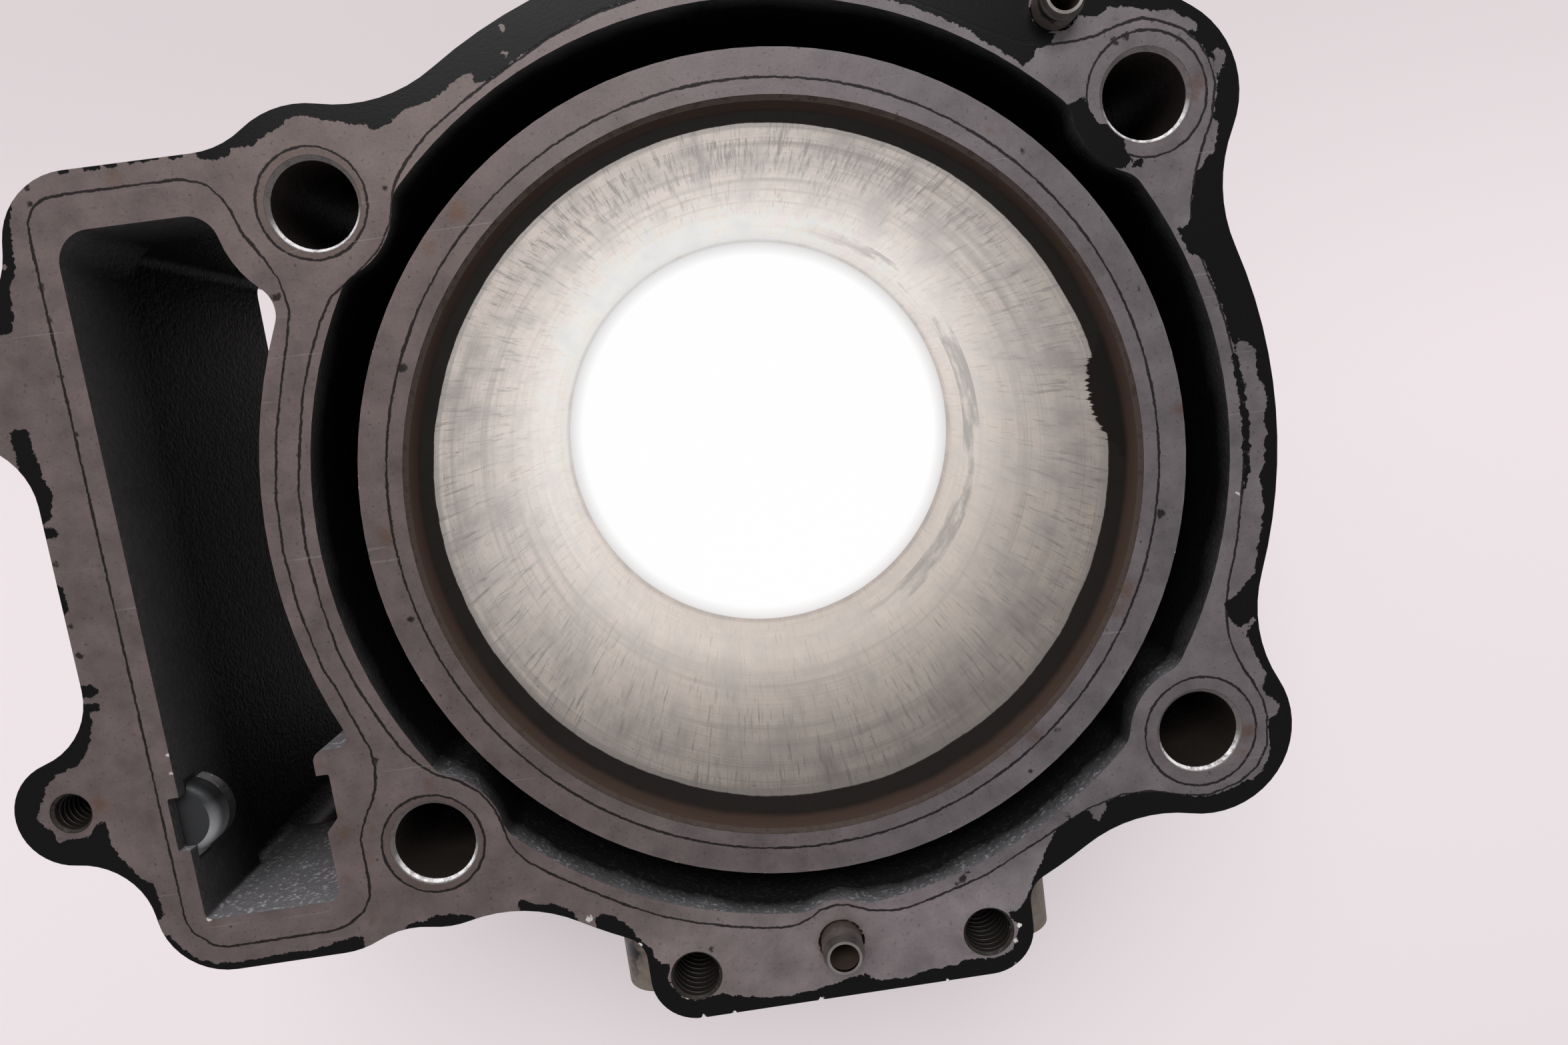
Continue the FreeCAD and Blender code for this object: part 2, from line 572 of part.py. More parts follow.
    def cut_tunnel(self):
        """Cut the chain tunnel, the wider space under the deck and the guide seats."""
        s = self.size
        opening = self.sketch(
            "tunnel_opening", "XY_Plane", "sizes.deck_height", closed_outline(self.tunnel_opening())
        )
        self.pocket("chain_tunnel", opening)
        wide = rounded_box(
            -s.tunnel_outer_x - s.tunnel_relief,
            -s.tunnel_low_y,
            -s.tunnel_middle_x,
            s.tunnel_high_y,
            s.tunnel_inner_corner,
        )
        relief = self.sketch("tunnel_relief", "XY_Plane", "places.under_deck", closed_outline(wide))
        self.pocket("wide_tunnel", relief)
        end = rounded_box(
            -s.tunnel_outer_x - s.tunnel_relief,
            -s.tunnel_low_y - s.tunnel_end_relief,
            -s.tunnel_inner_x,
            -s.seat_y,
            s.tunnel_corner,
        )
        deep = self.sketch(
            "tunnel_end", "XY_Plane", "sizes.deck_height - sizes.tunnel_end_depth", closed_outline(end)
        )
        self.pocket("deep_tunnel_end", deep)

    def build_guide_seat(self):
        """Make the half-round boss, the seat milled on it and the slot in the opposite wall."""
        s = self.size
        boss = self.circles(
            "seat_boss_circle",
            "XY_Plane",
            "sizes.deck_height - sizes.seat_depth",
            [("-seat_boss_x", "-seat_y")],
            "seat_boss_radius",
        )
        self.pad("seat_boss", boss, "sizes.seat_boss_drop", downward=True)
        top = s.deck_height - s.seat_depth
        bottom = top - s.seat_boss_drop
        self.fillet("boss_top", lambda edge: self.rounds_boss(edge, top), "seat_boss_round")
        self.chamfer("boss_bottom", lambda edge: self.rounds_boss(edge, bottom), "seat_boss_taper")
        half = s.seat_width / 2
        seat = rounded_box(
            -s.seat_boss_x,
            -s.seat_y - half,
            -s.tunnel_outer_x + s.seat_boss_radius,
            -s.seat_y + half,
            s.seat_corner,
        )
        sketch = self.sketch("seat_outline", "XY_Plane", "sizes.deck_height", closed_outline(seat))
        self.pocket("guide_seat", sketch, "sizes.seat_depth")
        middle = -s.seat_y + s.slot_shift
        low = middle - s.slot_width / 2 + s.seat_corner
        high = middle + s.slot_width / 2 - s.seat_corner
        left = -s.tunnel_inner_x - s.slot_recess + s.seat_corner
        right = -s.tunnel_inner_x + s.slot_recess - s.seat_corner
        slot = [
            Turn(left, low - 2 * s.slot_slant, s.seat_corner),
            Turn(right, low, s.seat_corner),
            Turn(right, high, s.seat_corner),
            Turn(left, high, s.seat_corner),
        ]
        sketch = self.sketch("slot_outline", "XY_Plane", "sizes.deck_height", closed_outline(slot))
        self.pocket("guide_slot", sketch, "sizes.slot_depth")

    def cut_side_openings(self):
        """Cut the window, the tensioner thread and the coolant inlet."""
        s = self.size
        window = rounded_box(
            s.tunnel_high_y - s.window_width,
            s.window_low_z,
            s.tunnel_high_y,
            s.window_high_z,
            s.window_corner,
        )
        outside = "-(places.tunnel_outer_x + sizes.tunnel_rim + sizes.tunnel_setback)"
        sketch = self.sketch("window_outline", "YZ_Plane", outside, closed_outline(window))
        self.pocket("tunnel_window", sketch, "sizes.tunnel_rim + 2 * sizes.tunnel_setback", along_normal=True)
        thread = self.circles(
            "tensioner_circle", "XZ_Plane", "-places.tensioner_y", TENSIONER, "tensioner_radius"
        )
        depth = "places.tensioner_y - places.tunnel_high_y + sizes.tunnel_corner"
        self.pocket("tensioner_thread", thread, depth, along_normal=True)
        face = "places.inlet_face_y"
        port = self.circles("inlet_circle", "XZ_Plane", face, [("", "inlet_axis_z")], "inlet_radius")
        self.pocket(
            "coolant_inlet", port, "places.inlet_face_y - places.liner_radius - sizes.jacket_width / 2"
        )
        taps = self.circles("inlet_screw_circles", "XZ_Plane", face, INLET_SCREWS, "inlet_tap_radius")
        self.pocket("inlet_threads", taps, "sizes.inlet_tap_depth")

    def drill_deck(self):
        """Drill the head bolt holes, the threads and the dowel holes, and chamfer them."""
        s = self.size
        deck = "sizes.deck_height"
        bolts = self.circles("bolt_circles", "XY_Plane", deck, BOLTS, "bolt_hole_radius")
        self.pocket("bolt_holes", bolts)
        ear_taps = self.circles("ear_circles", "XY_Plane", deck, EAR_SCREWS, "ear_tap_radius")
        self.pocket("ear_threads", ear_taps, "sizes.ear_tap_depth")
        lug_taps = self.circles("lug_circles", "XY_Plane", deck, LUGS, "lug_tap_radius")
        self.pocket("lug_threads", lug_taps, "sizes.lug_tap_depth")
        dowels = self.circles("dowel_circles", "XY_Plane", deck, DOWELS, "dowel_hole_radius")
        self.pocket("dowel_holes", dowels, "places.dowel_depth")
        self.chamfer("bolt_chamfers", lambda edge: self.rims(edge, s.bolt_hole_radius), "bolt_chamfer")
        taps = (s.ear_tap_radius, s.lug_tap_radius, s.dowel_hole_radius)
        self.chamfer("tap_chamfers", lambda edge: self.rims(edge, *taps), "tap_chamfer")
        self.chamfer("bore_chamfer", self.ends_bore, "bore_lead")

    def lies_at(self, edge, height):
        """Tell whether the whole edge lies in the level plane at this height."""
        level = all(abs(vertex.Z - height) < SAME for vertex in edge.Vertexes)
        return level and edge.BoundBox.ZLength < SAME

    def rims(self, edge, *radii):
        """Tell whether the edge is a hole's rim at the deck with one of these radii."""
        round_edge = hasattr(edge.Curve, "Radius") and self.lies_at(edge, self.size.deck_height)
        closed = len(edge.Vertexes) == 1
        return round_edge and closed and any(abs(edge.Curve.Radius - radius) < SAME for radius in radii)

    def rounds_boss(self, edge, height):
        """Tell whether the edge is the half-round boss's rim at this height."""
        if not hasattr(edge.Curve, "Radius") or not self.lies_at(edge, height):
            return False
        return abs(edge.Curve.Radius - self.size.seat_boss_radius) < SAME

    def ends_bore(self, edge):
        """Tell whether the edge is the upper or lower rim of the bore."""
        if not hasattr(edge.Curve, "Radius") or len(edge.Vertexes) != 1:
            return False
        return abs(edge.Curve.Radius - self.size.bore_radius) < SAME

    def build(self):
        """Build the features in the order in which they rest on each other."""
        self.build_slabs()
        self.build_walls()
        self.build_inlet_pad()
        self.build_tensioner_boss()
        self.cut_tunnel()
        self.build_guide_seat()
        self.cut_bore_and_jacket()
        self.cut_side_openings()
        self.drill_deck()
        return self.body


def build_dowel(document, size, label, x, y):
    """Build one hollow dowel, standing on the floor of its hole in the deck."""
    body = document.addObject("PartDesign::Body", label)
    body.Label = label
    sketch = body.newObject("Sketcher::SketchObject", f"{label}_profile")
    sketch.AttachmentSupport = [(origin_plane(body, "XZ_Plane"), "")]
    sketch.MapMode = "FlatFace"
    outer = size.dowel_radius
    inner = size.dowel_bore_radius
    top = size.dowel_length
    taper = outer - size.dowel_lead
    profile = [
        (inner, 0),
        (taper, 0),
        (outer, size.dowel_lead_length),
        (outer, top - size.dowel_lead_length),
        (taper, top),
        (inner, top),
    ]
    corners = [Vector(across, up, 0) for across, up in profile]
    sketch.addGeometry([Part.LineSegment(a, b) for a, b in zip(corners, corners[1:] + corners[:1])], False)
    feature = body.newObject("PartDesign::Revolution", f"{label}_turned")
    feature.Profile = sketch
    feature.ReferenceAxis = (sketch, ["V_Axis"])
    feature.Angle = 360
    body.Placement = Placement(Vector(), Rotation())
    body.setExpression("Placement.Base.x", x)
    body.setExpression("Placement.Base.y", y)
    body.setExpression("Placement.Base.z", "sizes.deck_height - places.dowel_depth")
    document.recompute()
    return body


def check(document, bodies):
    """Stop if an object failed or a finished body has no valid single solid."""
    for item in document.Objects:
        if "Invalid" in item.State or "Error" in item.State:
            raise RuntimeError(f"{item.Name} is {item.State}")
    for body in bodies:
        shape = body.Shape
        if shape.isNull() or not shape.isValid() or len(shape.Solids) != 1:
            raise RuntimeError(f"{body.Label} is not one valid solid")


def main():
    document = FreeCAD.newDocument("engine_cylinder")
    size = Sheets(document)
    bodies = [
        Casting(document, size).build(),
        build_dowel(document, size, "ear_dowel", "0 mm", "-places.ear_dowel_y"),
        build_dowel(document, size, "side_dowel", "places.side_dowel_x", "places.side_dowel_y"),
    ]
    check(document, bodies)
    os.makedirs("parts", exist_ok=True)
    for body in bodies:
        body.Shape.exportStep(f"parts/{body.Label}.step")
        box = body.Shape.BoundBox
        print(f"{body.Label}: {body.Shape.Volume / 1000:.1f} cm3, {len(body.Shape.Faces)} faces,", box)


if __name__ == "__main__":
    main()
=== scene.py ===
"""Looks of a water-cooled engine cylinder: a cast aluminium block with a plated bore.

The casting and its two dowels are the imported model's own pieces. What is added
are their finishes, the thin machined skin of the deck with its paint and gasket
marks, the plated skin of the bore, and the threads of the tapped holes.
"""

import logging
import math
from dataclasses import dataclass
from enum import Enum

import bmesh
import bpy
import numpy as np
from mathutils import Matrix, Vector


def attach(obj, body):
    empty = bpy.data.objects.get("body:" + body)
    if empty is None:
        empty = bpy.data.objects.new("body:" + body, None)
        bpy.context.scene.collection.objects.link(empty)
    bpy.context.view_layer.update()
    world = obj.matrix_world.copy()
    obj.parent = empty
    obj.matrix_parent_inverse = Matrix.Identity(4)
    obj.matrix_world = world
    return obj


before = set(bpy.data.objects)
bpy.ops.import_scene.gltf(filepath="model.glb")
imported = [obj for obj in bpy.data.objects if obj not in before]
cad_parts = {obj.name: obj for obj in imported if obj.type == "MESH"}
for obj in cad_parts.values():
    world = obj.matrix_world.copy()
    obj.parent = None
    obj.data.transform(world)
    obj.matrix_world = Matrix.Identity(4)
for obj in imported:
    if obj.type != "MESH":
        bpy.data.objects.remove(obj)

LOG = logging.getLogger("cylinder")
MM = 0.001
ROOT = "root"
CASTING = "cylinder_casting"
DOWELS = ("ear_dowel", "side_dowel")
DECK_HEIGHT = 112.0
BOLT = (55.15, 44.12)
EAR_TAPS = ((-21.5, -69.7), (21.5, -69.7))
LUG_TAPS = ((-103.2, -32.3), (-103.2, 27.1))
DOWEL_AXES = ((0.0, -67.8), (44.15, 56.72))
GUIDE_SEAT = (-90.2, -36.2)

# Points this close are joined, lie on a cutting plane, or lie on a level, in metres.
JOIN = 1e-6
TOUCH = 1e-7
NEAR = 1e-5
# A level face's normal rises at least this much.
LEVEL = 0.999
# Points that are measured at once, and the shortest length that is divided by.
BLOCK = 4000
TINY = 1e-9
# Distances in millimetres that stand for outside every mark and far from every axis.
OUTSIDE = -9.0
FAR = 99.0

Point = tuple[float, float]
Outline = tuple[Point, ...]
Spot = tuple[float, float, float]
Feed = bpy.types.NodeSocket | float | tuple | str | None


class Slot(Enum):
    """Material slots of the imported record."""

    CASTING = "cast_aluminium"
    DOWEL = "dowel_steel"


def linear(code: str) -> tuple[float, float, float, float]:
    """Turn an sRGB hex colour to the linear colour that shaders use.

    Args:
        code: the colour as #rrggbb.

    Returns:
        Linear red, green, blue and an alpha of 1.
    """
    parts = [int(code[place : place + 2], 16) / 255 for place in (1, 3, 5)]
    flat = [part / 12.92 if part <= 0.04045 else ((part + 0.055) / 1.055) ** 2.4 for part in parts]
    return (flat[0], flat[1], flat[2], 1.0)


class Finish:
    """The node tree of one material, filled a node at a time."""

    def __init__(self, name: str) -> None:
        """Make an empty material.

        Args:
            name: the finish in a maker's words.
        """
        self.material = bpy.data.materials.new(name)
        self.material.use_nodes = True
        self.tree = self.material.node_tree
        self.tree.nodes.clear()

    def add(self, kind: str, *feeds: Feed, out: str = "", **settings: object) -> bpy.types.NodeSocket:
        """Add a node with its settings and links.

        Args:
            kind: the node's type without "ShaderNode", with its operation after a colon.
            feeds: a value, hex colour or socket for each input; None leaves one as it is.
            out: the name of the output that is handed back, or the first one if empty.
            settings: the node's properties, or inputs by name with a leading "in_".

        Returns:
            The chosen output socket, or None on a node that has none.
        """
        kind, _, option = kind.partition(":")
        node = self.tree.nodes.new("ShaderNode" + kind)
        if option:
            setattr(node, "data_type" if kind == "Mix" else "operation", option)
        named = []
        for key, value in settings.items():
            if key.startswith("in_"):
                named.append((key[3:].replace("_", " "), value))
            else:
                setattr(node, key, value)
        pairs = list(zip([socket for socket in node.inputs if socket.enabled], feeds))
        pairs += [(node.inputs[name], value) for name, value in named]
        for socket, feed in pairs:
            if isinstance(feed, bpy.types.NodeSocket):
                self.tree.links.new(feed, socket)
            elif feed is not None:
                socket.default_value = linear(feed) if isinstance(feed, str) else feed
        if out:
            return node.outputs[out]
        return next((socket for socket in node.outputs if socket.enabled), None)

    def millimetres(self) -> bpy.types.NodeSocket:
        """Give each point's place on the object in millimetres."""
        return self.add("Mapping", self.add("TexCoord", out="Object"), in_Scale=(1 / MM, 1 / MM, 1 / MM))

    def within(self, *tests: tuple) -> bpy.types.NodeSocket:
        """Find where several tests hold at once.

        Args:
            tests: for each, an operation that compares and what it compares.

        Returns:
            1 where all of them hold and 0 elsewhere.
        """
        held = 1.0
        for operation, *feeds in tests:
            held = self.add("Math:MULTIPLY", held, self.add("Math:" + operation, *feeds))
        return held

    def close(self, surface: bpy.types.NodeSocket) -> bpy.types.Material:
        """Lead a shader to the output and hand the material back."""
        self.add("OutputMaterial", surface)
        return self.material

    def dress(
        self, colour: Feed, metal: Feed, rough: Feed, relief: tuple[Feed, float, float], gloss: float = 0.5
    ) -> bpy.types.Material:
        """Close the tree with a principled shader.

        Args:
            colour: its base colour.
            metal: how metallic it is.
            rough: its roughness.
            relief: the height of its grain, the grain's depth in metres, and its strength.
            gloss: its specular level.

        Returns:
            The finished material.
        """
        height, depth, strength = relief
        bump = self.add("Bump", in_Strength=strength, in_Distance=depth, in_Height=height)
        shader = self.add(
            "BsdfPrincipled",
            in_Base_Color=colour,
            in_Metallic=metal,
            in_Roughness=rough,
            in_Specular_IOR_Level=gloss,
            in_Normal=bump,
        )
        return self.close(shader)


def level_copy(name: str, height: float) -> bmesh.types.BMesh:
    """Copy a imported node's level faces at one height, with their triangles joined.

    Args:
        name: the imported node.
        height: the height of the faces, in millimetres.

    Returns:
        A bmesh, to be freed by the caller.
    """
    mesh = bmesh.new()
    mesh.from_mesh(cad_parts[name].data)
    other = [
        face
        for face in mesh.faces
        if face.normal.z < LEVEL or any(abs(vert.co.z - height * MM) > NEAR for vert in face.verts)
    ]
    bmesh.ops.delete(mesh, geom=other, context="FACES")
    bmesh.ops.remove_doubles(mesh, verts=mesh.verts, dist=JOIN)
    return mesh


def cut_in_cells(
    mesh: bmesh.types.BMesh, faces: list, axis: int, low: int, high: int, cell: float
) -> None:
    """Cut a level sheet along one axis by halves, down to cells that can carry marks.

    Args:
        mesh: the sheet.
        faces: the faces that lie between the two planes.
        axis: 0 to cut across X, 1 to cut across Y.
        low: the lower plane, in cells.
        high: the upper plane, in cells.
        cell: the distance of the planes in metres.
    """
    if high - low < 2 or not faces:
        return
    middle = (low + high) // 2
    normal = Vector((1, 0, 0)) if axis == 0 else Vector((0, 1, 0))
    geom = faces + list({edge for face in faces for edge in face.edges})
    geom += list({vert for face in faces for vert in face.verts})
    plane = normal * middle * cell
    cut = bmesh.ops.bisect_plane(mesh, geom=geom, dist=TOUCH, plane_co=plane, plane_no=normal)
    halves: tuple[list, list] = ([], [])
    for face in cut["geom"]:
        if isinstance(face, bmesh.types.BMFace):
            halves[face.calc_center_median()[axis] > middle * cell].append(face)
    cut_in_cells(mesh, halves[0], axis, low, middle, cell)
    cut_in_cells(mesh, halves[1], axis, middle, high, cell)


def inside_by(points: np.ndarray, outline: Outline) -> np.ndarray:
    """Measure how far points lie inside a closed outline.

    Args:
        points: their X and Y, in millimetres.
        outline: its corners in order, in millimetres.

    Returns:
        The distance to the outline, below zero outside it.
    """
    start = np.array(outline)
    end = np.roll(start, -1, axis=0)
    run = end - start
    square = np.maximum((run * run).sum(1), TINY)
    rise = np.where(run[:, 1] == 0, TINY, run[:, 1])
    far = np.empty(len(points))
    for block in range(0, len(points), BLOCK):
        at = points[block : block + BLOCK, None, :]
        along = np.clip(((at - start) * run).sum(2) / square, 0, 1)
        gap = np.linalg.norm(at - start - along[:, :, None] * run, axis=2).min(1)
        over = (start[:, 1] > at[:, :, 1]) != (end[:, 1] > at[:, :, 1])
        left = at[:, :, 0] < run[:, 0] * (at[:, :, 1] - start[:, 1]) / rise + start[:, 0]
        far[block : block + BLOCK] = np.where((over & left).sum(1) % 2 == 1, gap, -gap)
    return far


def inside_spots(points: np.ndarray, spots: tuple[Spot, ...]) -> np.ndarray:
    """Measure how far points lie inside the nearest of some round spots.

    Args:
        points: their X and Y, in millimetres.
        spots: the middle and reach of each spot.

    Returns:
        The distance to the spots' edge, below zero outside them.
    """
    far = np.full(len(points), OUTSIDE)
    for x, y, reach in spots:
        far = np.maximum(far, reach - np.hypot(points[:, 0] - x, points[:, 1] - y))
    return far


def as_object(mesh: bmesh.types.BMesh, name: str, material: bpy.types.Material) -> bpy.types.Object:
    """Turn a bmesh to an object of the scene.

    Args:
        mesh: the finished mesh, which is freed.
        name: the object's name.
        material: its finish.

    Returns:
        The new object.
    """
    data = bpy.data.meshes.new(name)
    mesh.to_mesh(data)
    mesh.free()
    made = bpy.data.objects.new(name, data)
    bpy.context.scene.collection.objects.link(made)
    data.materials.append(material)
    return made


def as_piece(
    mesh: bmesh.types.BMesh, name: str, slot: Slot, material: bpy.types.Material
) -> bpy.types.Object:
    """Turn a bmesh to a piece that rides on the cylinder.

    Args:
        mesh: the finished mesh, which is freed.
        name: the piece's name.
        slot: not used.
        material: its finish.

    Returns:
        The new object.
    """
    piece = as_object(mesh, name, material)
    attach(piece, ROOT)
    return piece


@dataclass(frozen=True)
class PaintedCasting:
    """Cast aluminium, sprayed gloss black outside and machined where it mates.

    The skin shows the sand grain through a wet-looking enamel with orange peel, and
    chips to bright metal along its rims. Water jacket and chain tunnel stay bare: dull
    grey, with painted shade that darkens them the deeper they go, and painted light on
    the walls that face +Y. Turned and milled faces are bright, and the guide seat's lip and
    the bolt holes' chamfers carry painted highlights.
    Each pair of numbers is a middle and a reach on both sides of it, in millimetres.
    """

    enamel: tuple[str, str] = ("#060607", "#101011")
    bare: tuple[str, str] = ("#6e6c6d", "#413f3f")
    scale: str = "#0e0d0c"
    machined: tuple[str, str] = ("#8f8a89", "#6d6766")
    pad: tuple[str, str] = ("#857b70", "#4d443b")
    jacket_radius: tuple[float, float] = (57.3, 6.1)
    jacket_floor: float = 47.5
    tunnel_x: tuple[float, float] = (-77.6, 13.2)
    tunnel_y: tuple[float, float] = (-2.9, 48.1)
    lead_radius: float = 51.1
    base_face: float = 0.03
    inlet_face: float = -78.95
    deck_face: float = DECK_HEIGHT - 0.04
    pad_back: float = -66.0
    pad_height: tuple[float, float] = (77.0, 22.4)
    seat_radius: float = 6.2
    seat_height: tuple[float, float] = (108.6, 1.6)
    lip_radius: tuple[float, float] = (4.9, 0.75)
    bolt_mouth: float = 111.3
    # how far each kind of hole's colour reaches from its axis
    bolt_reach: float = 6.4
    ear_reach: float = 3.9
    lug_reach: float = 3.0
    dowel_reach: float = 3.1

    def build(self) -> bpy.types.Material:
        """Make the material."""
        finish = Finish("black_enamel_on_cast_aluminium")
        add = finish.add
        place = finish.millimetres()
        x, y, z = add("SeparateXYZ", place).node.outputs
        toward = add("SeparateXYZ", add("TexCoord", out="Normal"), out="Y")
        flat = add("CombineXYZ", x, y, 0.0)
        reach = add("VectorMath:LENGTH", flat)
        # bare inside: the water jacket, the chain tunnel and the bore's leads
        jacket = finish.within(
            ("COMPARE", reach, *self.jacket_radius), ("GREATER_THAN", z, self.jacket_floor)
        )
        tunnel = finish.within(("COMPARE", x, *self.tunnel_x), ("COMPARE", y, *self.tunnel_y))
        inner = add("Math:MAXIMUM", jacket, tunnel)
        lead = add("Math:LESS_THAN", reach, self.lead_radius)
        # machined: base face and spigot, inlet face, deck
        faces = add("Math:LESS_THAN", z, self.base_face)
        faces = add("Math:MAXIMUM", faces, add("Math:LESS_THAN", y, self.inlet_face))
        faces = add("Math:MAXIMUM", faces, add("Math:GREATER_THAN", z, self.deck_face))
        # the guide's seat is cast grey, with a painted highlight along its lip on the -Y side
        off = add("VectorMath:DISTANCE", flat, (*GUIDE_SEAT, 0.0))
        seat = finish.within(("LESS_THAN", off, self.seat_radius), ("COMPARE", z, *self.seat_height))
        lip_highlight = add("Math:COMPARE", off, *self.lip_radius)
        lip_highlight = add("Math:MULTIPLY", lip_highlight, add("MapRange", y, -34.0, -38.5, 0.0, 0.8))
        # drilled and tapped holes
        bolt_x, bolt_y = BOLT
        bolts = [(side * bolt_x, end * bolt_y) for side in (-1, 1) for end in (-1, 1)]
        hole = 0.0
        for spots, radius in (
            (bolts, self.bolt_reach),
            (EAR_TAPS, self.ear_reach),
            (LUG_TAPS, self.lug_reach),
            (DOWEL_AXES, self.dowel_reach),
        ):
            for spot in spots:
                far = add("VectorMath:DISTANCE", flat, (*spot, 0.0))
                hole = add("Math:MAXIMUM", hole, add("Math:LESS_THAN", far, radius))
            if spots is bolts:
                mouth = add("Math:MULTIPLY", hole, add("Math:GREATER_THAN", z, self.bolt_mouth))
        # grain of the sand, about 0.7 mm, and slower clouds of dirt; noise takes its scale
        # for a millimetre, then its detail and its roughness
        grain = add("TexNoise", place, 1.4, 3.0, 0.6)
        cloud = add("TexNoise", place, 0.09, 4.0, 0.6)
        speck = add("TexNoise", place, 0.8, 5.0, 0.7)
        # enamel, chipped where the deck and the base cut through it
        rim = add("MapRange", z, 109.6, DECK_HEIGHT)
        edge = add("Math:MAXIMUM", rim, add("MapRange", z, 2.2, 0.0))
        chip = add("MapRange", add("Math:MULTIPLY_ADD", edge, 0.22, speck), 0.735, 0.765)
        # the inlet pad is flaked bare at its flanks
        pad = finish.within(("LESS_THAN", y, self.pad_back), ("COMPARE", z, *self.pad_height))
        pad = add("Math:MULTIPLY", pad, add("MapRange", cloud, 0.40, 0.46))
        brown = add("Mix:RGBA", speck, self.pad[1], self.pad[0])
        skin = add("Mix:RGBA", grain, *self.enamel)
        dust = add("MapRange", cloud, 0.5, 0.75, 0.0, 0.35)
        for share, coat in ((dust, "#3a342f"), (chip, "#a8a3a1"), (pad, brown)):
            skin = add("Mix:RGBA", share, skin, coat)
        # bare cast metal, with painted shade that darkens it below the first centimetre
        bare = add("Mix:RGBA", speck, self.bare[1], self.bare[0])
        depth_shade = add("Math:MULTIPLY_ADD", cloud, -8.0, z)
        # painted light: the walls that face +Y are painted brighter, with painted glints on the grain, and
        # the painted shade on them sets in more slowly
        fade = add("Mix", jacket, add("MapRange", toward, 0.3, 0.9, 92.0, 74.0), 103.5)
        depth_shade = add("MapRange", depth_shade, 110.0, fade, 0.0, 0.96)
        bright = add("MapRange", toward, 0.5, 0.9, 0.0, 0.75)
        bright = add("Math:MULTIPLY", bright, add("Math:SUBTRACT", 1.0, depth_shade))
        glint = add("Math:MULTIPLY", add("MapRange", grain, 0.56, 0.66, 0.0, 0.9), bright)
        for share, coat in ((depth_shade, self.scale), (bright, "#a5a3a6"), (glint, "#f4f2f6")):
            bare = add("Mix:RGBA", share, bare, coat)
        # cutter marks run round the bore axis on the turned faces
        turns = add("CombineXYZ", add("Math:MULTIPLY", reach, 3.0), 0.0, z)
        cut = add("TexNoise", turns, 1.0, 2.0)
        cut = add("Mix:RGBA", cut, self.machined[1], self.machined[0])
        ledge = add("Mix:RGBA", lip_highlight, "#323334", "#a3a3a5")
        # painted highlight: the bolt holes' chamfers are painted bright in patches where they face +Y, at
        # their inner edge only
        overlay_mask = add("MapRange", toward, 0.1, 0.45)
        overlay_mask = add("Math:MULTIPLY", overlay_mask, add("MapRange", z, 111.86, 111.7))
        overlay_mask = add("Math:MULTIPLY", overlay_mask, add("MapRange", speck, 0.38, 0.56, 0.2, 1.0))
        chamfer_highlight = add("Mix:RGBA", overlay_mask, "#66605e", "#fbf8f8")
        colour = add("Mix:RGBA", inner, skin, bare)
        for share, coat in (
            (faces, cut),
            (seat, ledge),
            (hole, "#2b2623"),
            (mouth, chamfer_highlight),
            (lead, "#40352f"),
        ):
            colour = add("Mix:RGBA", share, colour, coat)
        metal = add("Math:MAXIMUM", faces, add("Math:MULTIPLY", inner, 0.6))
        metal = add("Math:MAXIMUM", metal, add("Math:MULTIPLY", chip, 0.5))
        metal = add("Math:MULTIPLY", metal, 0.75)
        rough = add("Math:MULTIPLY_ADD", inner, 0.2, add("MapRange", grain, 0.3, 0.7, 0.24, 0.36))
        rough = add("Mix", faces, rough, 0.36)
        rough = add("Mix", add("Math:MAXIMUM", pad, chip), rough, 0.6)
        # enamel lies smoother than the bare grain, and machined faces have none
        lift = add("Math:MULTIPLY", add("Math:MULTIPLY_ADD", inner, 2.6, 0.4), grain)
        grainy = add("Math:SUBTRACT", 1.0, add("Math:MAXIMUM", faces, seat))
        lift = add("Math:MULTIPLY_ADD", chip, -0.4, add("Math:MULTIPLY", lift, grainy))
        return finish.dress(colour, metal, rough, (lift, 0.00016, 0.55), 0.3)


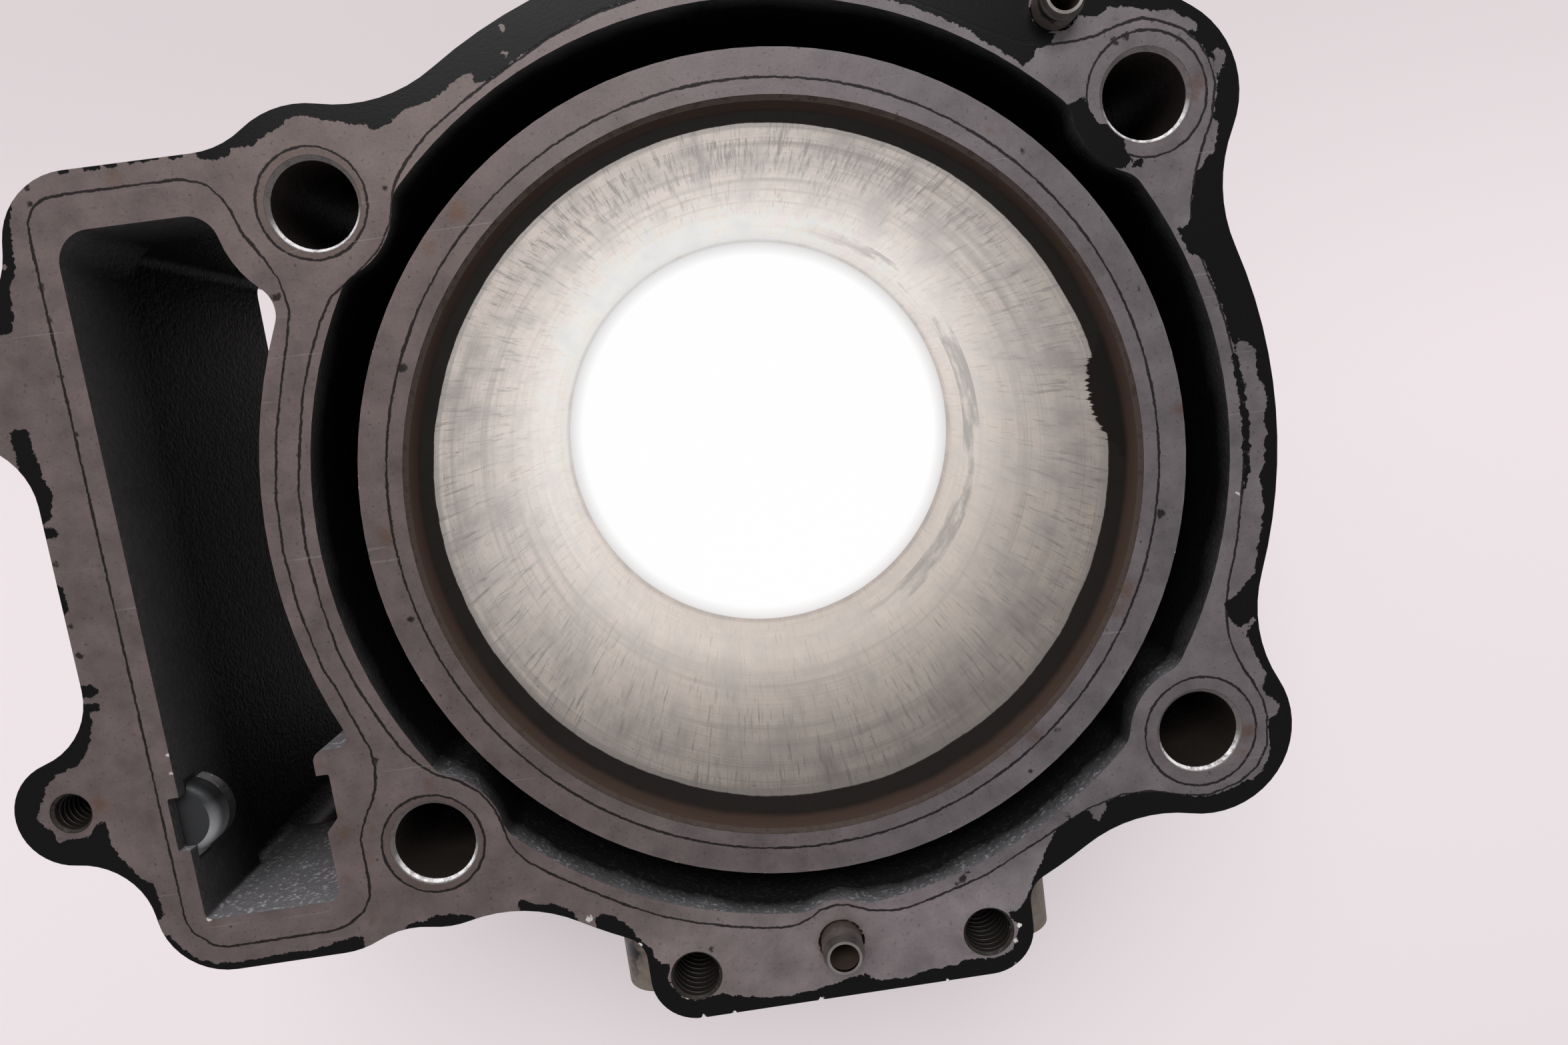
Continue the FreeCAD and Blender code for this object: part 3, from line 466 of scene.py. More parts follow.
@dataclass(frozen=True)
class MachinedDeck:
    """Face-milled aluminium with black overspray and the prints of its gasket.

    Milling leaves a fine matt grain. The enamel that was sprayed over the rim has a
    torn edge where the gasket tore it, and thin dark lines show the gasket's beads.
    """

    left: str = "#6b605e"
    right: str = "#6f696b"
    bead: str = "#121011"
    rust: str = "#5d4230"
    liner_edge: float = 56.6
    fire_ring: float = 52.7
    # radius of the ring print round a bolt hole, on the chain side and on the other
    bolt_ring: tuple[float, float] = (7.15, 8.05)

    def build(self) -> bpy.types.Material:
        """Make the material."""
        finish = Finish("face_milled_aluminium_with_overspray")
        add = finish.add
        place = finish.millimetres()
        x, y, _ = add("SeparateXYZ", place).node.outputs
        reach = add("VectorMath:LENGTH", add("CombineXYZ", x, y, 0.0))
        fine = add("TexNoise", place, 2.6, 3.0, 0.65)
        blot = add("TexNoise", place, 0.16, 4.0, 0.62)
        torn = add("TexNoise", place, 1.1, 3.0, 0.7)
        traced = {
            name: add("Attribute", attribute_name=name, out="Fac")
            for name in ("stain", "dirt", "jacket_bead", "tunnel_bead", "paint", "nick")
        }
        # milled grey, warmer over the chain tunnel, mottled by heat and oil; lighter on the ear
        # and a little darker towards the +Y side, and the liner ring ran hotter and is a little duller
        colour = add("Mix:RGBA", add("MapRange", x, -40.0, 30.0), self.left, self.right)
        ear_tone = add("MapRange", y, -57.0, -64.0, 0.0, 0.4)
        tone = add("Math:ADD", ear_tone, add("MapRange", y, -40.0, 60.0, 0.97, 0.87))
        for source, *span in (
            (blot, 0.3, 0.7, 0.76, 1.2),
            (fine, 0.25, 0.75, 0.93, 1.07),
            (reach, 57.0, 56.0, 1.0, 0.93),
        ):
            tone = add("Math:MULTIPLY", tone, add("MapRange", source, *span))
        colour = add("VectorMath:SCALE", colour, tone)
        # grain of dark specks, pits and dots of dirt
        grit = add("TexNoise", place, 1.9, 2.0, 0.6)
        grit = add("MapRange", grit, 0.62, 0.72, 0.0, 0.35)
        pit = add("TexVoronoi", place, 0.34)
        pit = add("MapRange", pit, 0.055, 0.085, 0.55, 0.0)
        pit = add("Math:MULTIPLY", pit, add("MapRange", blot, 0.45, 0.6))
        # brown stains and dark smudges that were traced
        stain = add("Math:ADD", traced["stain"], add("MapRange", torn, 0.3, 0.7, -0.5, 0.5))
        stain = add("MapRange", stain, -0.3, 1.2, 0.0, 0.55)
        dirt = add("Math:ADD", traced["dirt"], add("MapRange", torn, 0.3, 0.7, -0.25, 0.25))
        # prints of the gasket: two beads, the liner ring, and a ring round each bolt
        wander = add("MapRange", torn, 0.25, 0.75, -0.12, 0.12)
        width = add("MapRange", blot, 0.35, 0.72, 0.09, 0.24)
        bolt = [add("Math:SUBTRACT", add("Math:ABSOLUTE", far), axis) for far, axis in zip((x, y), BOLT)]
        bolt = add("VectorMath:LENGTH", add("CombineXYZ", *bolt, 0.0))
        size = add("MapRange", x, -10.0, 10.0, *self.bolt_ring)
        mark = add("MapRange", dirt, -0.1, 0.15, 0.0, 0.85)
        for line in (
            traced["jacket_bead"],
            traced["tunnel_bead"],
            add("Math:SUBTRACT", reach, self.fire_ring),
            add("Math:SUBTRACT", bolt, size),
        ):
            off = add("Math:SUBTRACT", add("Math:ABSOLUTE", add("Math:ADD", line, wander)), width)
            mark = add("Math:MAXIMUM", mark, add("MapRange", off, 0.07, -0.03, 0.0, 0.9))
        # the washer's seat between bolt hole and ring is browner on the chain side
        seat = add("Math:LESS_THAN", bolt, add("Math:SUBTRACT", size, 0.2))
        seat = add("Math:MULTIPLY", seat, add("MapRange", x, -20.0, 20.0, 0.32, 0.1))
        # overspray, torn at its edge, with flakes lost inside
        cover = add("Math:ADD", traced["paint"], add("MapRange", torn, 0.25, 0.75, -0.34, 0.34))
        cover = add("MapRange", cover, -0.03, 0.05)
        flake = add("TexNoise", place, 2.2, 4.0, 0.75)
        gloss = add("Mix:RGBA", fine, "#050506", "#0e0e0f")
        gloss = add("Mix:RGBA", add("MapRange", flake, 0.72, 0.76, 0.0, 0.7), gloss, "#77706f")
        # bright nicks along the liner's edges and where metal broke out
        nick = add("Math:ADD", traced["nick"], add("MapRange", torn, 0.25, 0.75, -0.2, 0.2))
        rim = add("MapRange", reach, 56.05, 56.45, 0.0, 0.5)
        rim = add("Math:MULTIPLY", rim, add("Math:LESS_THAN", reach, self.liner_edge))
        rim = add("MapRange", add("Math:ADD", rim, torn), 1.14, 1.2)
        nick = add("Math:MAXIMUM", add("MapRange", nick, 0.0, 0.1), rim)
        # fine random scratches, drawn 0.15 mm wide so that they show
        turn = add("Mapping", place, in_Rotation=(0.0, 0.0, 0.6), in_Scale=(0.035, 1.1, 1.0))
        thin = add("TexNoise", turn, 1.0, 1.0, in_Distortion=0.4)
        thin = add("MapRange", thin, 0.725, 0.75, 0.0, 0.12)
        thin = add("Math:MULTIPLY", thin, add("Math:SUBTRACT", 1.0, cover))
        for share, coat in (
            (grit, self.bead),
            (pit, self.bead),
            (stain, self.rust),
            (mark, self.bead),
            (seat, "#4a3a31"),
            (cover, gloss),
            (nick, "#cfcac8"),
            (thin, "#b5aeae"),
        ):
            colour = add("Mix:RGBA", share, colour, coat)
        rough = add("Mix", cover, add("MapRange", blot, 0.3, 0.7, 0.42, 0.55), 0.3)
        metal = add("MapRange", cover, 0.0, 1.0, 0.55, 0.0)
        height = add("Math:MULTIPLY_ADD", cover, 1.2, add("Math:MULTIPLY", fine, 0.5))
        height = add("Math:MULTIPLY_ADD", mark, -0.4, height)
        return finish.dress(colour, metal, rough, (height, 0.00004, 0.5), 0.12)


@dataclass(frozen=True)
class HonedPlating:
    """Nickel plating with a honed cross-hatch, worn bright and carboned at its top.

    Above the top ring's turn the wall keeps brown varnish and black carbon, below it
    runs bright with fine upright scuffs and faint crossed honing lines, under painted
    light that brightens it towards the crankcase and painted shade on its -Y side.
    """

    bright: tuple[str, str] = ("#f4e8e0", "#a3948c")
    crankcase_light_tone: str = "#fffaf6"
    carbon: str = "#181412"
    varnish: str = "#463730"
    radius: float = 50.0
    # radians of the honing's wave in a millimetre, for lines 1 mm apart
    hone_wave: float = 6.28
    # the ragged flake of carbon: its bearing in radians and its edge below the deck
    flake_bearing: float = 0.1
    flake_edge: tuple[float, float] = (13.6, 13.0)

    def build(self) -> bpy.types.Material:
        """Make the material."""
        finish = Finish("honed_nickel_plating")
        add = finish.add
        place = finish.millimetres()
        x, y, z = add("SeparateXYZ", place).node.outputs
        depth = add("Math:SUBTRACT", DECK_HEIGHT, z)
        angle = add("Math:ARCTAN2", y, x)
        cloud = add("TexNoise", place, 0.07, 4.0, 0.6)
        torn = add("TexNoise", place, 0.7, 4.0, 0.7)
        # scuffs and smears run along the piston's travel, bands round the bore
        along = add("Mapping", place, in_Scale=(1.1, 1.1, 0.035))
        scuff = add("TexNoise", along, 1.6, 3.0, 0.7)
        along = add("Mapping", place, in_Scale=(0.16, 0.16, 0.03))
        smear = add("TexNoise", along, 1.0, 3.0, 0.6)
        along = add("Mapping", place, in_Scale=(0.015, 0.015, 0.16))
        band = add("TexNoise", along, 1.0, 3.0, 0.6)
        along = add("Mapping", place, in_Scale=(0.03, 0.03, 3.2))
        lines = add("TexNoise", along, 1.0, 2.0)
        pits = add("TexNoise", place, 1.5, 2.0, 0.5)
        pits = add("Math:ADD", pits, add("MapRange", depth, 45.0, 12.0, 0.0, 0.05))
        # honing lines at 45 degrees, 1 mm apart so that they show
        arc = add("Math:MULTIPLY", angle, self.radius)
        hatch = 0.0
        for sign in (1.0, -1.0):
            wave = add("Math:MULTIPLY", add("Math:MULTIPLY_ADD", z, sign, arc), self.hone_wave)
            wave = add("MapRange", add("Math:SINE", wave), 0.8, 1.0)
            hatch = add("Math:MAXIMUM", hatch, wave)
        hatch = add("Math:MULTIPLY", hatch, add("MapRange", torn, 0.45, 0.62, 0.0, 0.16))
        # the scuffs crowd below the ring's turn on the +Y side
        crowd = add("MapRange", y, 25.0, 45.0, 0.0, 0.07)
        crowd = add("Math:MULTIPLY", crowd, add("Math:COMPARE", depth, 34.0, 13.0))
        streak = add("MapRange", add("Math:ADD", scuff, crowd), 0.54, 0.68, 0.0, 0.62)
        # painted light: brighter towards the crankcase end
        crankcase_light = add("MapRange", depth, 25.0, 100.0, 0.0, 0.6)
        colour = add("Mix:RGBA", add("MapRange", smear, 0.32, 0.6), self.bright[1], self.bright[0])
        for share, coat in (
            (streak, "#5a5250"),
            (add("MapRange", band, 0.5, 0.68, 0.0, 0.5), "#857a73"),
            (add("MapRange", lines, 0.56, 0.66, 0.0, 0.3), "#6d6460"),
            (add("MapRange", pits, 0.72, 0.75, 0.0, 0.7), "#2a2422"),
            (hatch, "#5f5a58"),
            (crankcase_light, self.crankcase_light_tone),
        ):
            colour = add("Mix:RGBA", share, colour, coat)
        # painted shade: the -Y side is painted duller and browner and the +Y side brighter, with the
        # painted light towards the crankcase added in
        side = add("Math:MULTIPLY_ADD", y, 0.0062, add("Math:MULTIPLY", x, -0.0026))
        tone = add("Math:ADD", side, add("Math:MULTIPLY_ADD", crankcase_light, 0.78, 0.60))
        warm = add("MapRange", side, -0.3, 0.1, 0.86, 0.96)
        green = add("Math:MULTIPLY", tone, add("Math:MULTIPLY_ADD", warm, 0.5, 0.5))
        shade = add("CombineXYZ", tone, green, add("Math:MULTIPLY", tone, warm))
        colour = add("VectorMath:MULTIPLY", colour, shade)
        # the ring's turn, then carbon, then varnish up to the edge
        level = add("Math:ADD", depth, add("MapRange", cloud, 0.3, 0.7, -0.5, 0.5))
        level = add("Math:ADD", level, add("MapRange", torn, 0.3, 0.7, -0.15, 0.15))
        black = add("MapRange", level, 12.6, 12.2, 0.0, 0.97)
        brown = add("MapRange", level, 6.0, 4.0, 0.0, 0.8)
        # one ragged flake of carbon hangs lower on the +X side
        off = add("Math:SUBTRACT", angle, self.flake_bearing)
        off = add("Math:MULTIPLY_ADD", add("Math:MULTIPLY", off, off), 420.0, depth)
        flake = add("MapRange", add("Math:MULTIPLY_ADD", scuff, -11.0, off), *self.flake_edge)
        # oil and dirt where the wall leaves the jacket
        low = add("Math:COMPARE", depth, 106.0, 9.0)
        low = add("Math:MULTIPLY", low, add("MapRange", cloud, 0.46, 0.6, 0.0, 0.5))
        low = add("Math:MULTIPLY", low, add("MapRange", x, 15.0, 35.0, 0.1, 1.0))
        for share, coat in (
            (add("MapRange", level, 15.6, 14.6, 0.0, 0.45), "#5d5856"),
            (flake, "#1e130f"),
            (black, self.carbon),
            (brown, self.varnish),
            (low, "#3e3a39"),
        ):
            colour = add("Mix:RGBA", share, colour, coat)
        overlay_mask = add("Math:MAXIMUM", add("Math:MAXIMUM", black, brown), flake)
        metal = add("MapRange", overlay_mask, 0.0, 1.0, 0.85, 0.0)
        rough = add("Mix", overlay_mask, add("MapRange", smear, 0.3, 0.7, 0.26, 0.42), 0.8)
        height = add("Math:MULTIPLY_ADD", hatch, -0.5, scuff)
        return finish.dress(colour, metal, rough, (height, 0.00003, 0.25), 0.1)


@dataclass(frozen=True)
class TurnedSteel:
    """Turned and hardened dowel steel, silver at its lead and brown in its hole."""

    steel: tuple[str, str] = ("#a9a5a1", "#6f6863")
    stain: str = "#3a2a20"
    hole_reach: float = 2.25
    hole_top: float = 115.9

    def build(self) -> bpy.types.Material:
        """Make the material."""
        finish = Finish("turned_dowel_steel")
        add = finish.add
        place = finish.millimetres()
        x, y, z = add("SeparateXYZ", place).node.outputs
        flat = add("CombineXYZ", x, y, 0.0)
        near = FAR
        for spot in DOWEL_AXES:
            far = add("VectorMath:DISTANCE", flat, (*spot, 0.0))
            near = add("Math:MINIMUM", near, far)
        turns = add("Mapping", place, in_Scale=(0.25, 0.25, 9.0))
        mark = add("TexNoise", turns, 1.0, 3.0, 0.6)
        dirt = add("TexNoise", place, 0.9, 4.0, 0.7)
        colour = add("Mix:RGBA", mark, self.steel[1], self.steel[0])
        foot = add("MapRange", add("Math:MULTIPLY_ADD", dirt, -5.0, z), 112.2, 110.6, 0.0, 0.8)
        hole = finish.within(("LESS_THAN", near, self.hole_reach), ("LESS_THAN", z, self.hole_top))
        brown = add("Math:MAXIMUM", foot, add("Math:MULTIPLY", hole, 0.9))
        colour = add("Mix:RGBA", brown, colour, self.stain)
        rough = add("Mix", brown, add("MapRange", mark, 0.3, 0.7, 0.24, 0.4), 0.7)
        metal = add("MapRange", brown, 0.0, 1.0, 1.0, 0.2)
        return finish.dress(colour, metal, rough, (mark, 0.00003, 0.3))


@dataclass(frozen=True)
class TappedMetal:
    """Tapped aluminium, near black down to its crests."""

    dark: tuple[str, str] = ("#0b0a09", "#2e2a27")

    def build(self) -> bpy.types.Material:
        """Make the material."""
        finish = Finish("tapped_aluminium")
        mottle = finish.add("TexNoise", finish.millimetres(), 0.6, 4.0, 0.7)
        colour = finish.add("Mix:RGBA", mottle, *self.dark)
        rough = finish.add("MapRange", mottle, 0.3, 0.7, 0.55, 0.32)
        return finish.dress(colour, 0.5, rough, (mottle, 0.00004, 0.3))


@dataclass(frozen=True)
class DeckMarks:
    """Outlines of what was left on the deck, in millimetres."""

    overspray: tuple[Outline, ...] = (
        # past the +Y head bolts, down the +X side and round the ear
        ((-68.5, 52.1), (-68, 51.2), (-66, 51), (-64.2, 51.2), (-63.8, 52), (-61, 52.2), (-60, 53),
         (-58.5, 53.6), (-57, 53.9), (-56.3, 54.9), (-55.5, 55.1), (-53.5, 55), (-52, 54.1), (-50, 53.8),
         (-48, 53.3), (-46.3, 52.8), (-45.7, 52.1), (-44.5, 52.2), (-43, 52.9), (-41.2, 54.2),
         (-39, 54.5), (-37, 55.2), (-35.5, 56), (-34.5, 57), (-32, 57.6), (-31.8, 56.2), (-30, 56.4),
         (-25, 59), (-21.5, 60.6), (-15, 62.9), (-8, 64.2), (0, 64.7), (8, 64.2), (15, 62.9), (22, 60),
         (24.5, 59.2), (26.5, 58.3), (28.8, 57.1), (31, 55.8), (32.8, 55), (33, 54.2), (35, 52.9),
         (37, 51.5), (39.2, 49.7), (40.3, 50.3), (40.9, 51.5), (43.3, 51.9), (43.5, 53), (44, 54),
         (45.5, 54.6), (46.7, 55.5), (47.3, 55), (49, 54.6), (50.2, 54.9), (50.7, 55.5), (52, 55.4),
         (54, 55.2), (55.5, 54.8), (57, 54.4), (59.3, 54.3), (60, 53.7), (60.8, 53.2), (62, 52.7),
         (62.5, 52), (62.3, 51.2), (61.5, 51.6), (61.2, 51), (62.4, 50.2), (63.3, 48.8), (64, 47.5),
         (64.5, 46), (64.6, 44.5), (64.3, 42.5), (64, 41), (63.7, 39.8), (64.3, 39.2), (63.9, 37),
         (63.3, 35.5), (62.3, 34.8), (61.8, 33.8), (61, 33.8), (60.4, 31.7), (59.9, 29.5), (59.6, 27.3),
         (58.7, 26.4), (57.6, 26.6), (57.8, 25.8), (58.5, 24.5), (58.9, 23.2), (59.5, 22.5), (60.7, 22.3),
         (61.5, 20), (62.5, 16.5), (63.3, 13.5), (63.7, 11), (64.3, 9.8), (65, 10.5), (66.3, 10),
         (66.9, 9), (67.2, 8), (67, 6), (67.3, 4.7), (67.9, 4), (68.1, 2.8), (68.3, 1), (67.7, 0.3),
         (67.6, -1.5), (68, -2.8), (67.5, -3.3), (67.4, -5), (67.2, -6.3), (66.9, -7.5), (66.3, -8.2),
         (66.5, -9.5), (66.6, -12), (66.9, -13), (66.3, -14), (66.2, -15.5), (65.8, -17), (65.3, -19),
         (64.9, -20.5), (64.8, -21.5), (64.2, -22.8), (63, -23.7), (61.7, -25), (60.5, -25.5), (60, -26),
         (60.5, -27.8), (60.8, -28.7), (61.7, -29.5), (62.5, -29.7), (63.7, -28.7), (64.4, -28.2),
         (64.4, -29), (63, -30.3), (62.8, -31), (63.3, -32.3), (64.2, -34.3), (64.7, -36), (65.2, -37.3),
         (65, -38), (64.3, -38.7), (65, -40), (66, -40.8), (66.8, -42), (66.3, -43.3), (65.2, -43.7),
         (64.8, -44.7), (65, -46.7), (65, -48.3), (64.7, -49.3), (63.7, -51), (62.3, -52.2),
         (60.3, -52.7), (58, -53.5), (55.5, -53.9), (53, -53.5), (50, -52.6), (47, -51.9), (43, -51.9),
         (40.3, -52.6), (40.4, -53), (40, -54.2), (39, -55.3), (38.3, -54.8), (38.2, -54), (38, -53.3),
         (37, -53.4), (35, -54.4), (33, -55.5), (32.3, -56.4), (31.2, -58), (30.2, -60.5), (29, -62),
         (28, -64.5), (26.5, -66.8), (25, -67.2), (24.2, -66.9), (25.3, -68.5), (26, -69.4),
         (25.7, -70.5), (25, -72.5), (24, -73.4), (22.5, -73.8), (21, -73.7), (19, -73.5), (17.5, -73.3),
         (16.5, -74), (10.5, -74.3), (10, -74.7), (8, -74.8), (5, -74.6), (3.5, -74.1), (3, -73.3),
         (1.5, -73.4), (-1, -73.9), (-3, -74.4), (-6, -74.7), (-9, -74.9), (-12.5, -74.6), (-15, -74),
         (-17, -73.4), (-18, -72.9), (-21.5, -73.4), (-23.5, -73), (-25.2, -71), (-25.5, -69.5),
         (-25.2, -67.3), (-26.3, -67), (-27, -66), (-27.3, -64.5), (-28.5, -63), (-29.3, -62),
         (-29.8, -60.7), (-31, -59.5), (-32, -58.5), (-33.3, -58.1), (-34.5, -58.5), (-34.8, -61),
         (-36, -82), (82, -82), (82, 82), (-68.5, 82)),
        # round the +X +Y head bolt
        ((44.5, 44.2), (46, 44.6), (46.8, 45), (46.9, 44.2), (47.3, 43.6), (47.7, 42.3), (48.3, 41.3),
         (49.2, 41), (50.6, 41), (52.8, 39.4), (51.8, 38.6), (51.6, 37.5), (52.2, 36.3), (51.9, 35.8),
         (51.5, 35.1), (50, 35.2), (47.6, 36), (45.6, 39.1), (44.4, 41.8), (43.9, 43.8)),
        ((52.2, 35.8), (53.8, 36), (54.3, 35.3), (53.5, 34.9), (52.2, 35)),
        # a strip along the gasket's bead on the +X side
        ((63.7, 8.5), (64.4, 9.6), (64.8, 7), (65.1, 5), (65.3, 2), (65.6, 0), (65.5, -2), (65.4, -5),
         (65.1, -8), (64.6, -8.6), (64.4, -10.4), (63.7, -10.5), (64.1, -8), (64.3, -5), (64.4, 0),
         (64.1, 5)),
        # chain side, over the upper lug
        ((-91, 50.9), (-92, 49.8), (-93, 47.8), (-93.5, 46), (-93.6, 43.5), (-94, 41), (-94.2, 39.9),
         (-95.2, 38.7), (-95.4, 36.5), (-95.6, 34.5), (-96.2, 33.2), (-97.8, 32.8), (-102, 32.8),
         (-102, 54), (-91, 54)),
        # chips along the chain tunnel's +Y rim
        ((-86.3, 54), (-86, 51.9), (-85.4, 51.5), (-84.6, 51.8), (-84.3, 54)),
        ((-83.2, 54), (-83, 51.8), (-81.8, 51.6), (-80.6, 51.9), (-80.4, 54)),
        ((-80.2, 54), (-80, 51.9), (-79.3, 51.6), (-78.6, 51.9), (-78.4, 54)),
        ((-77.6, 54), (-77.4, 52), (-75, 51.9), (-73, 52), (-72.8, 54)),
        ((-72.2, 54), (-72, 51.8), (-71, 51.7), (-70, 51.9), (-69.8, 54)),
        # the lug's neck, in islands
        ((-96.9, 20.5), (-97, 17), (-96.5, 14), (-95.8, 11.8), (-96.3, 10.2), (-96.6, 8.2), (-99.5, 7.8),
         (-99.5, 20.5)),
        ((-99.5, 7.2), (-96.8, 7.2), (-95.8, 6.6), (-96.3, 5.9), (-97.6, 6), (-99.5, 6)),
        ((-99.5, -0.3), (-97.4, -0.5), (-97.1, -2.5), (-97.3, -4.5), (-99.5, -4.8)),
        ((-97.3, -14.6), (-96.2, -14.8), (-95.8, -15.5), (-96.3, -16.4), (-99, -16.3), (-99, -14.6)),
        ((-99, -17.2), (-96.8, -17.2), (-95.8, -17.6), (-96.2, -18.4), (-97.5, -18.5), (-97.6, -20),
         (-98.2, -22), (-99.3, -24), (-100.5, -25.5), (-102, -26), (-104, -26.5), (-105.8, -28.2),
         (-106.4, -29.7), (-107.2, -30.8), (-107.9, -32), (-107.2, -33.6), (-106.3, -34), (-105.8, -36.2),
         (-104.6, -35.7), (-103, -36.1), (-101.2, -35.5), (-100.1, -34.2), (-98.7, -34), (-98.9, -36.5),
         (-98.3, -39), (-97, -41), (-95.8, -43), (-94.3, -44), (-94.1, -46), (-93.9, -48), (-94, -49.2),
         (-98, -49.2), (-115, -40), (-115, -17)),
        # -Y rim of the chain tunnel
        ((-95.5, -51.3), (-93.8, -51.8), (-92.5, -54), (-90.5, -56), (-88, -57), (-84.5, -57.2),
         (-77, -56.9), (-75.5, -57.1), (-72, -56.7), (-70.3, -56.2), (-68.8, -56), (-67.3, -56.2),
         (-67, -60.5), (-96, -62)),
        ((-61.5, -59), (-61.5, -56.3), (-61, -55.3), (-58.5, -55.3), (-57, -54.7), (-55, -54.8),
         (-53, -55.1), (-51.2, -55.8), (-51, -59)),
        ((-45, -59), (-45, -54.3), (-44, -54.1), (-43, -55), (-40, -55.6), (-38.5, -56.5), (-37.2, -57.4),
         (-36.5, -61)),
    )
    lost: tuple[Outline, ...] = (
        ((64.5, 48.8), (65.2, 49), (65.8, 48.2), (66, 47), (65.5, 46), (65.2, 45.6), (64.8, 46.3),
         (64.4, 48.2)),
        ((-27.6, 63.1), (-26.9, 63), (-26.8, 62.2), (-27.5, 62.1)),
        ((-27.8, 59.6), (-26.8, 59.6), (-26.8, 58.9), (-27.8, 58.8)),
        ((24.6, -75.2), (25.5, -75.2), (25.4, -76), (24.5, -76.1)),
        ((-95.6, 41.6), (-95, 41.6), (-95, 41), (-95.6, 41)),
    )
    jacket_bead: Outline = (
        (-35, -54.2), (-30, -57.3), (-25, -59.9), (-20, -61.7), (-15, -63.1), (-11, -63.9), (-8, -64.3),
        (-6, -64.2), (-4, -63.5), (-2.5, -62.5), (0, -62.1), (1.5, -62.3), (3, -62.9), (4.5, -63.6),
        (8, -64.2), (10, -64.1), (14, -63.2), (18, -62.1), (22, -60.9), (26, -59), (30, -57), (33, -55.5),
        (38, -53.1), (43, -51.8), (47, -51.9), (52, -53.3), (55.5, -53.8), (60, -52.6), (63, -50.5),
        (64.6, -47.5), (64.9, -43.3), (64.5, -40.7), (63.3, -38), (62, -35.7), (61, -33.3), (60.4, -31),
        (60.2, -28.7), (60.4, -25.5), (61, -22.5), (61.8, -20), (62.6, -17), (63.2, -13.5), (63.7, -11),
        (64.3, -7), (64.7, -3), (64.8, 1), (64.6, 4), (64.2, 7), (63.8, 10), (63.3, 13), (62.5, 16.5),
        (61.3, 20), (60.5, 23), (59.8, 27), (59.9, 29.5), (60.4, 31.7), (61, 33.8), (62.2, 37),
        (63.6, 40), (64.4, 44.5), (63.8, 47.3), (62.7, 49.7), (60.7, 51.7), (57.3, 53.2), (55.3, 53.7),
        (52, 53.2), (49.3, 52.3), (46.7, 51.9), (43.3, 51.9), (38.7, 52.8), (34, 55), (30, 57.3),
        (25, 59.7), (20, 61.6), (15, 62.9), (8, 64.2), (0, 64.7), (-8, 64.2), (-15, 62.9), (-21.5, 60.6),
        (-26, 58.3), (-30, 56.3), (-34, 54), (-36.8, 52.2), (-39, 50.8), (-42, 48), (-43.8, 45.8),
        (-44.6, 44.2), (-45.6, 40.5), (-47.6, 37.4), (-50, 35.4), (-52, 34), (-55, 32), (-57, 29),
        (-59, 25), (-61, 20), (-62.3, 15), (-63.9, 8), (-64.5, 0), (-64, -8), (-63, -15), (-61.5, -20),
        (-59, -26), (-57, -30), (-55, -32.5), (-53, -34.2), (-50, -35.6), (-47.5, -37.6), (-46, -40),
        (-45.2, -42.5), (-44.8, -45), (-44, -47), (-42.5, -48.8), (-40, -50.8), (-37.5, -52.5),
    )
    tunnel_bead: Outline = (
        (-91.3, 44), (-91.1, 46.3), (-90.2, 48), (-88.6, 49), (-86, 49.2), (-71, 49.2), (-68, 48.2),
        (-66.5, 46.5), (-65.5, 44.5), (-64.6, 41.5), (-62.5, 38), (-61.2, 35.2), (-60.8, 33), (-60.6, 31),
        (-61.7, 27), (-63.4, 22), (-65.5, 15), (-67.1, 7), (-67.6, 0), (-67.1, -8), (-65.5, -17),
        (-64.2, -20), (-63, -24), (-62, -27), (-61.2, -29.5), (-61.1, -32), (-61.5, -34.5),
        (-62.3, -36.5), (-63.5, -38.5), (-64.5, -40.5), (-65, -42), (-65, -48), (-65.3, -50.5),
        (-66.5, -52.5), (-69, -54.2), (-71, -54.7), (-86, -54.8), (-88, -54.3), (-90.5, -52),
        (-91.2, -50),
    )
    # middle and reach of dark dots and smudges
    dirt: tuple[Spot, ...] = (
        (-97.5, 2.2, 0.5), (-97.6, -6.4, 0.5), (-95.9, -9, 0.35), (-97.3, -10.5, 0.5), (-96.5, -13, 0.4),
        (-90.2, 50.6, 0.4), (-90.4, 48.5, 0.4), (-74.5, 47.2, 0.4), (-45.5, 44.8, 0.4),
        (-18.9, -66.1, 0.4), (18.6, -61, 0.6), (19.4, -60.2, 0.5), (17.8, -61.8, 0.5),
        (44.7, -33.7, 0.35), (34.6, -40.7, 0.5), (34.7, -53.7, 0.4), (27.7, -48.7, 0.4),
        (30, -46.3, 0.35), (55.8, -50.5, 0.3), (52.1, -12, 0.7), (49.3, -19.3, 0.45), (48.7, -15.5, 0.35),
        (52, 19, 0.4), (38, 39, 0.35), (51.5, 51.2, 0.55), (53, 51.7, 0.5), (60, 50.6, 0.45),
        (-67.2, 38, 0.5), (-91.3, 38.2, 0.5), (-91.2, 34, 0.4), (-91.3, 26.6, 0.4), (-91.2, 19, 0.4),
        (-47.5, 21.8, 0.7), (-52.5, -12, 0.6), (65.2, 4, 0.5), (65, 0, 0.5), (64.9, -4, 0.5),
        (64.6, 7, 0.4), (-62, 33, 0.6), (-61, -31, 0.6),
    )
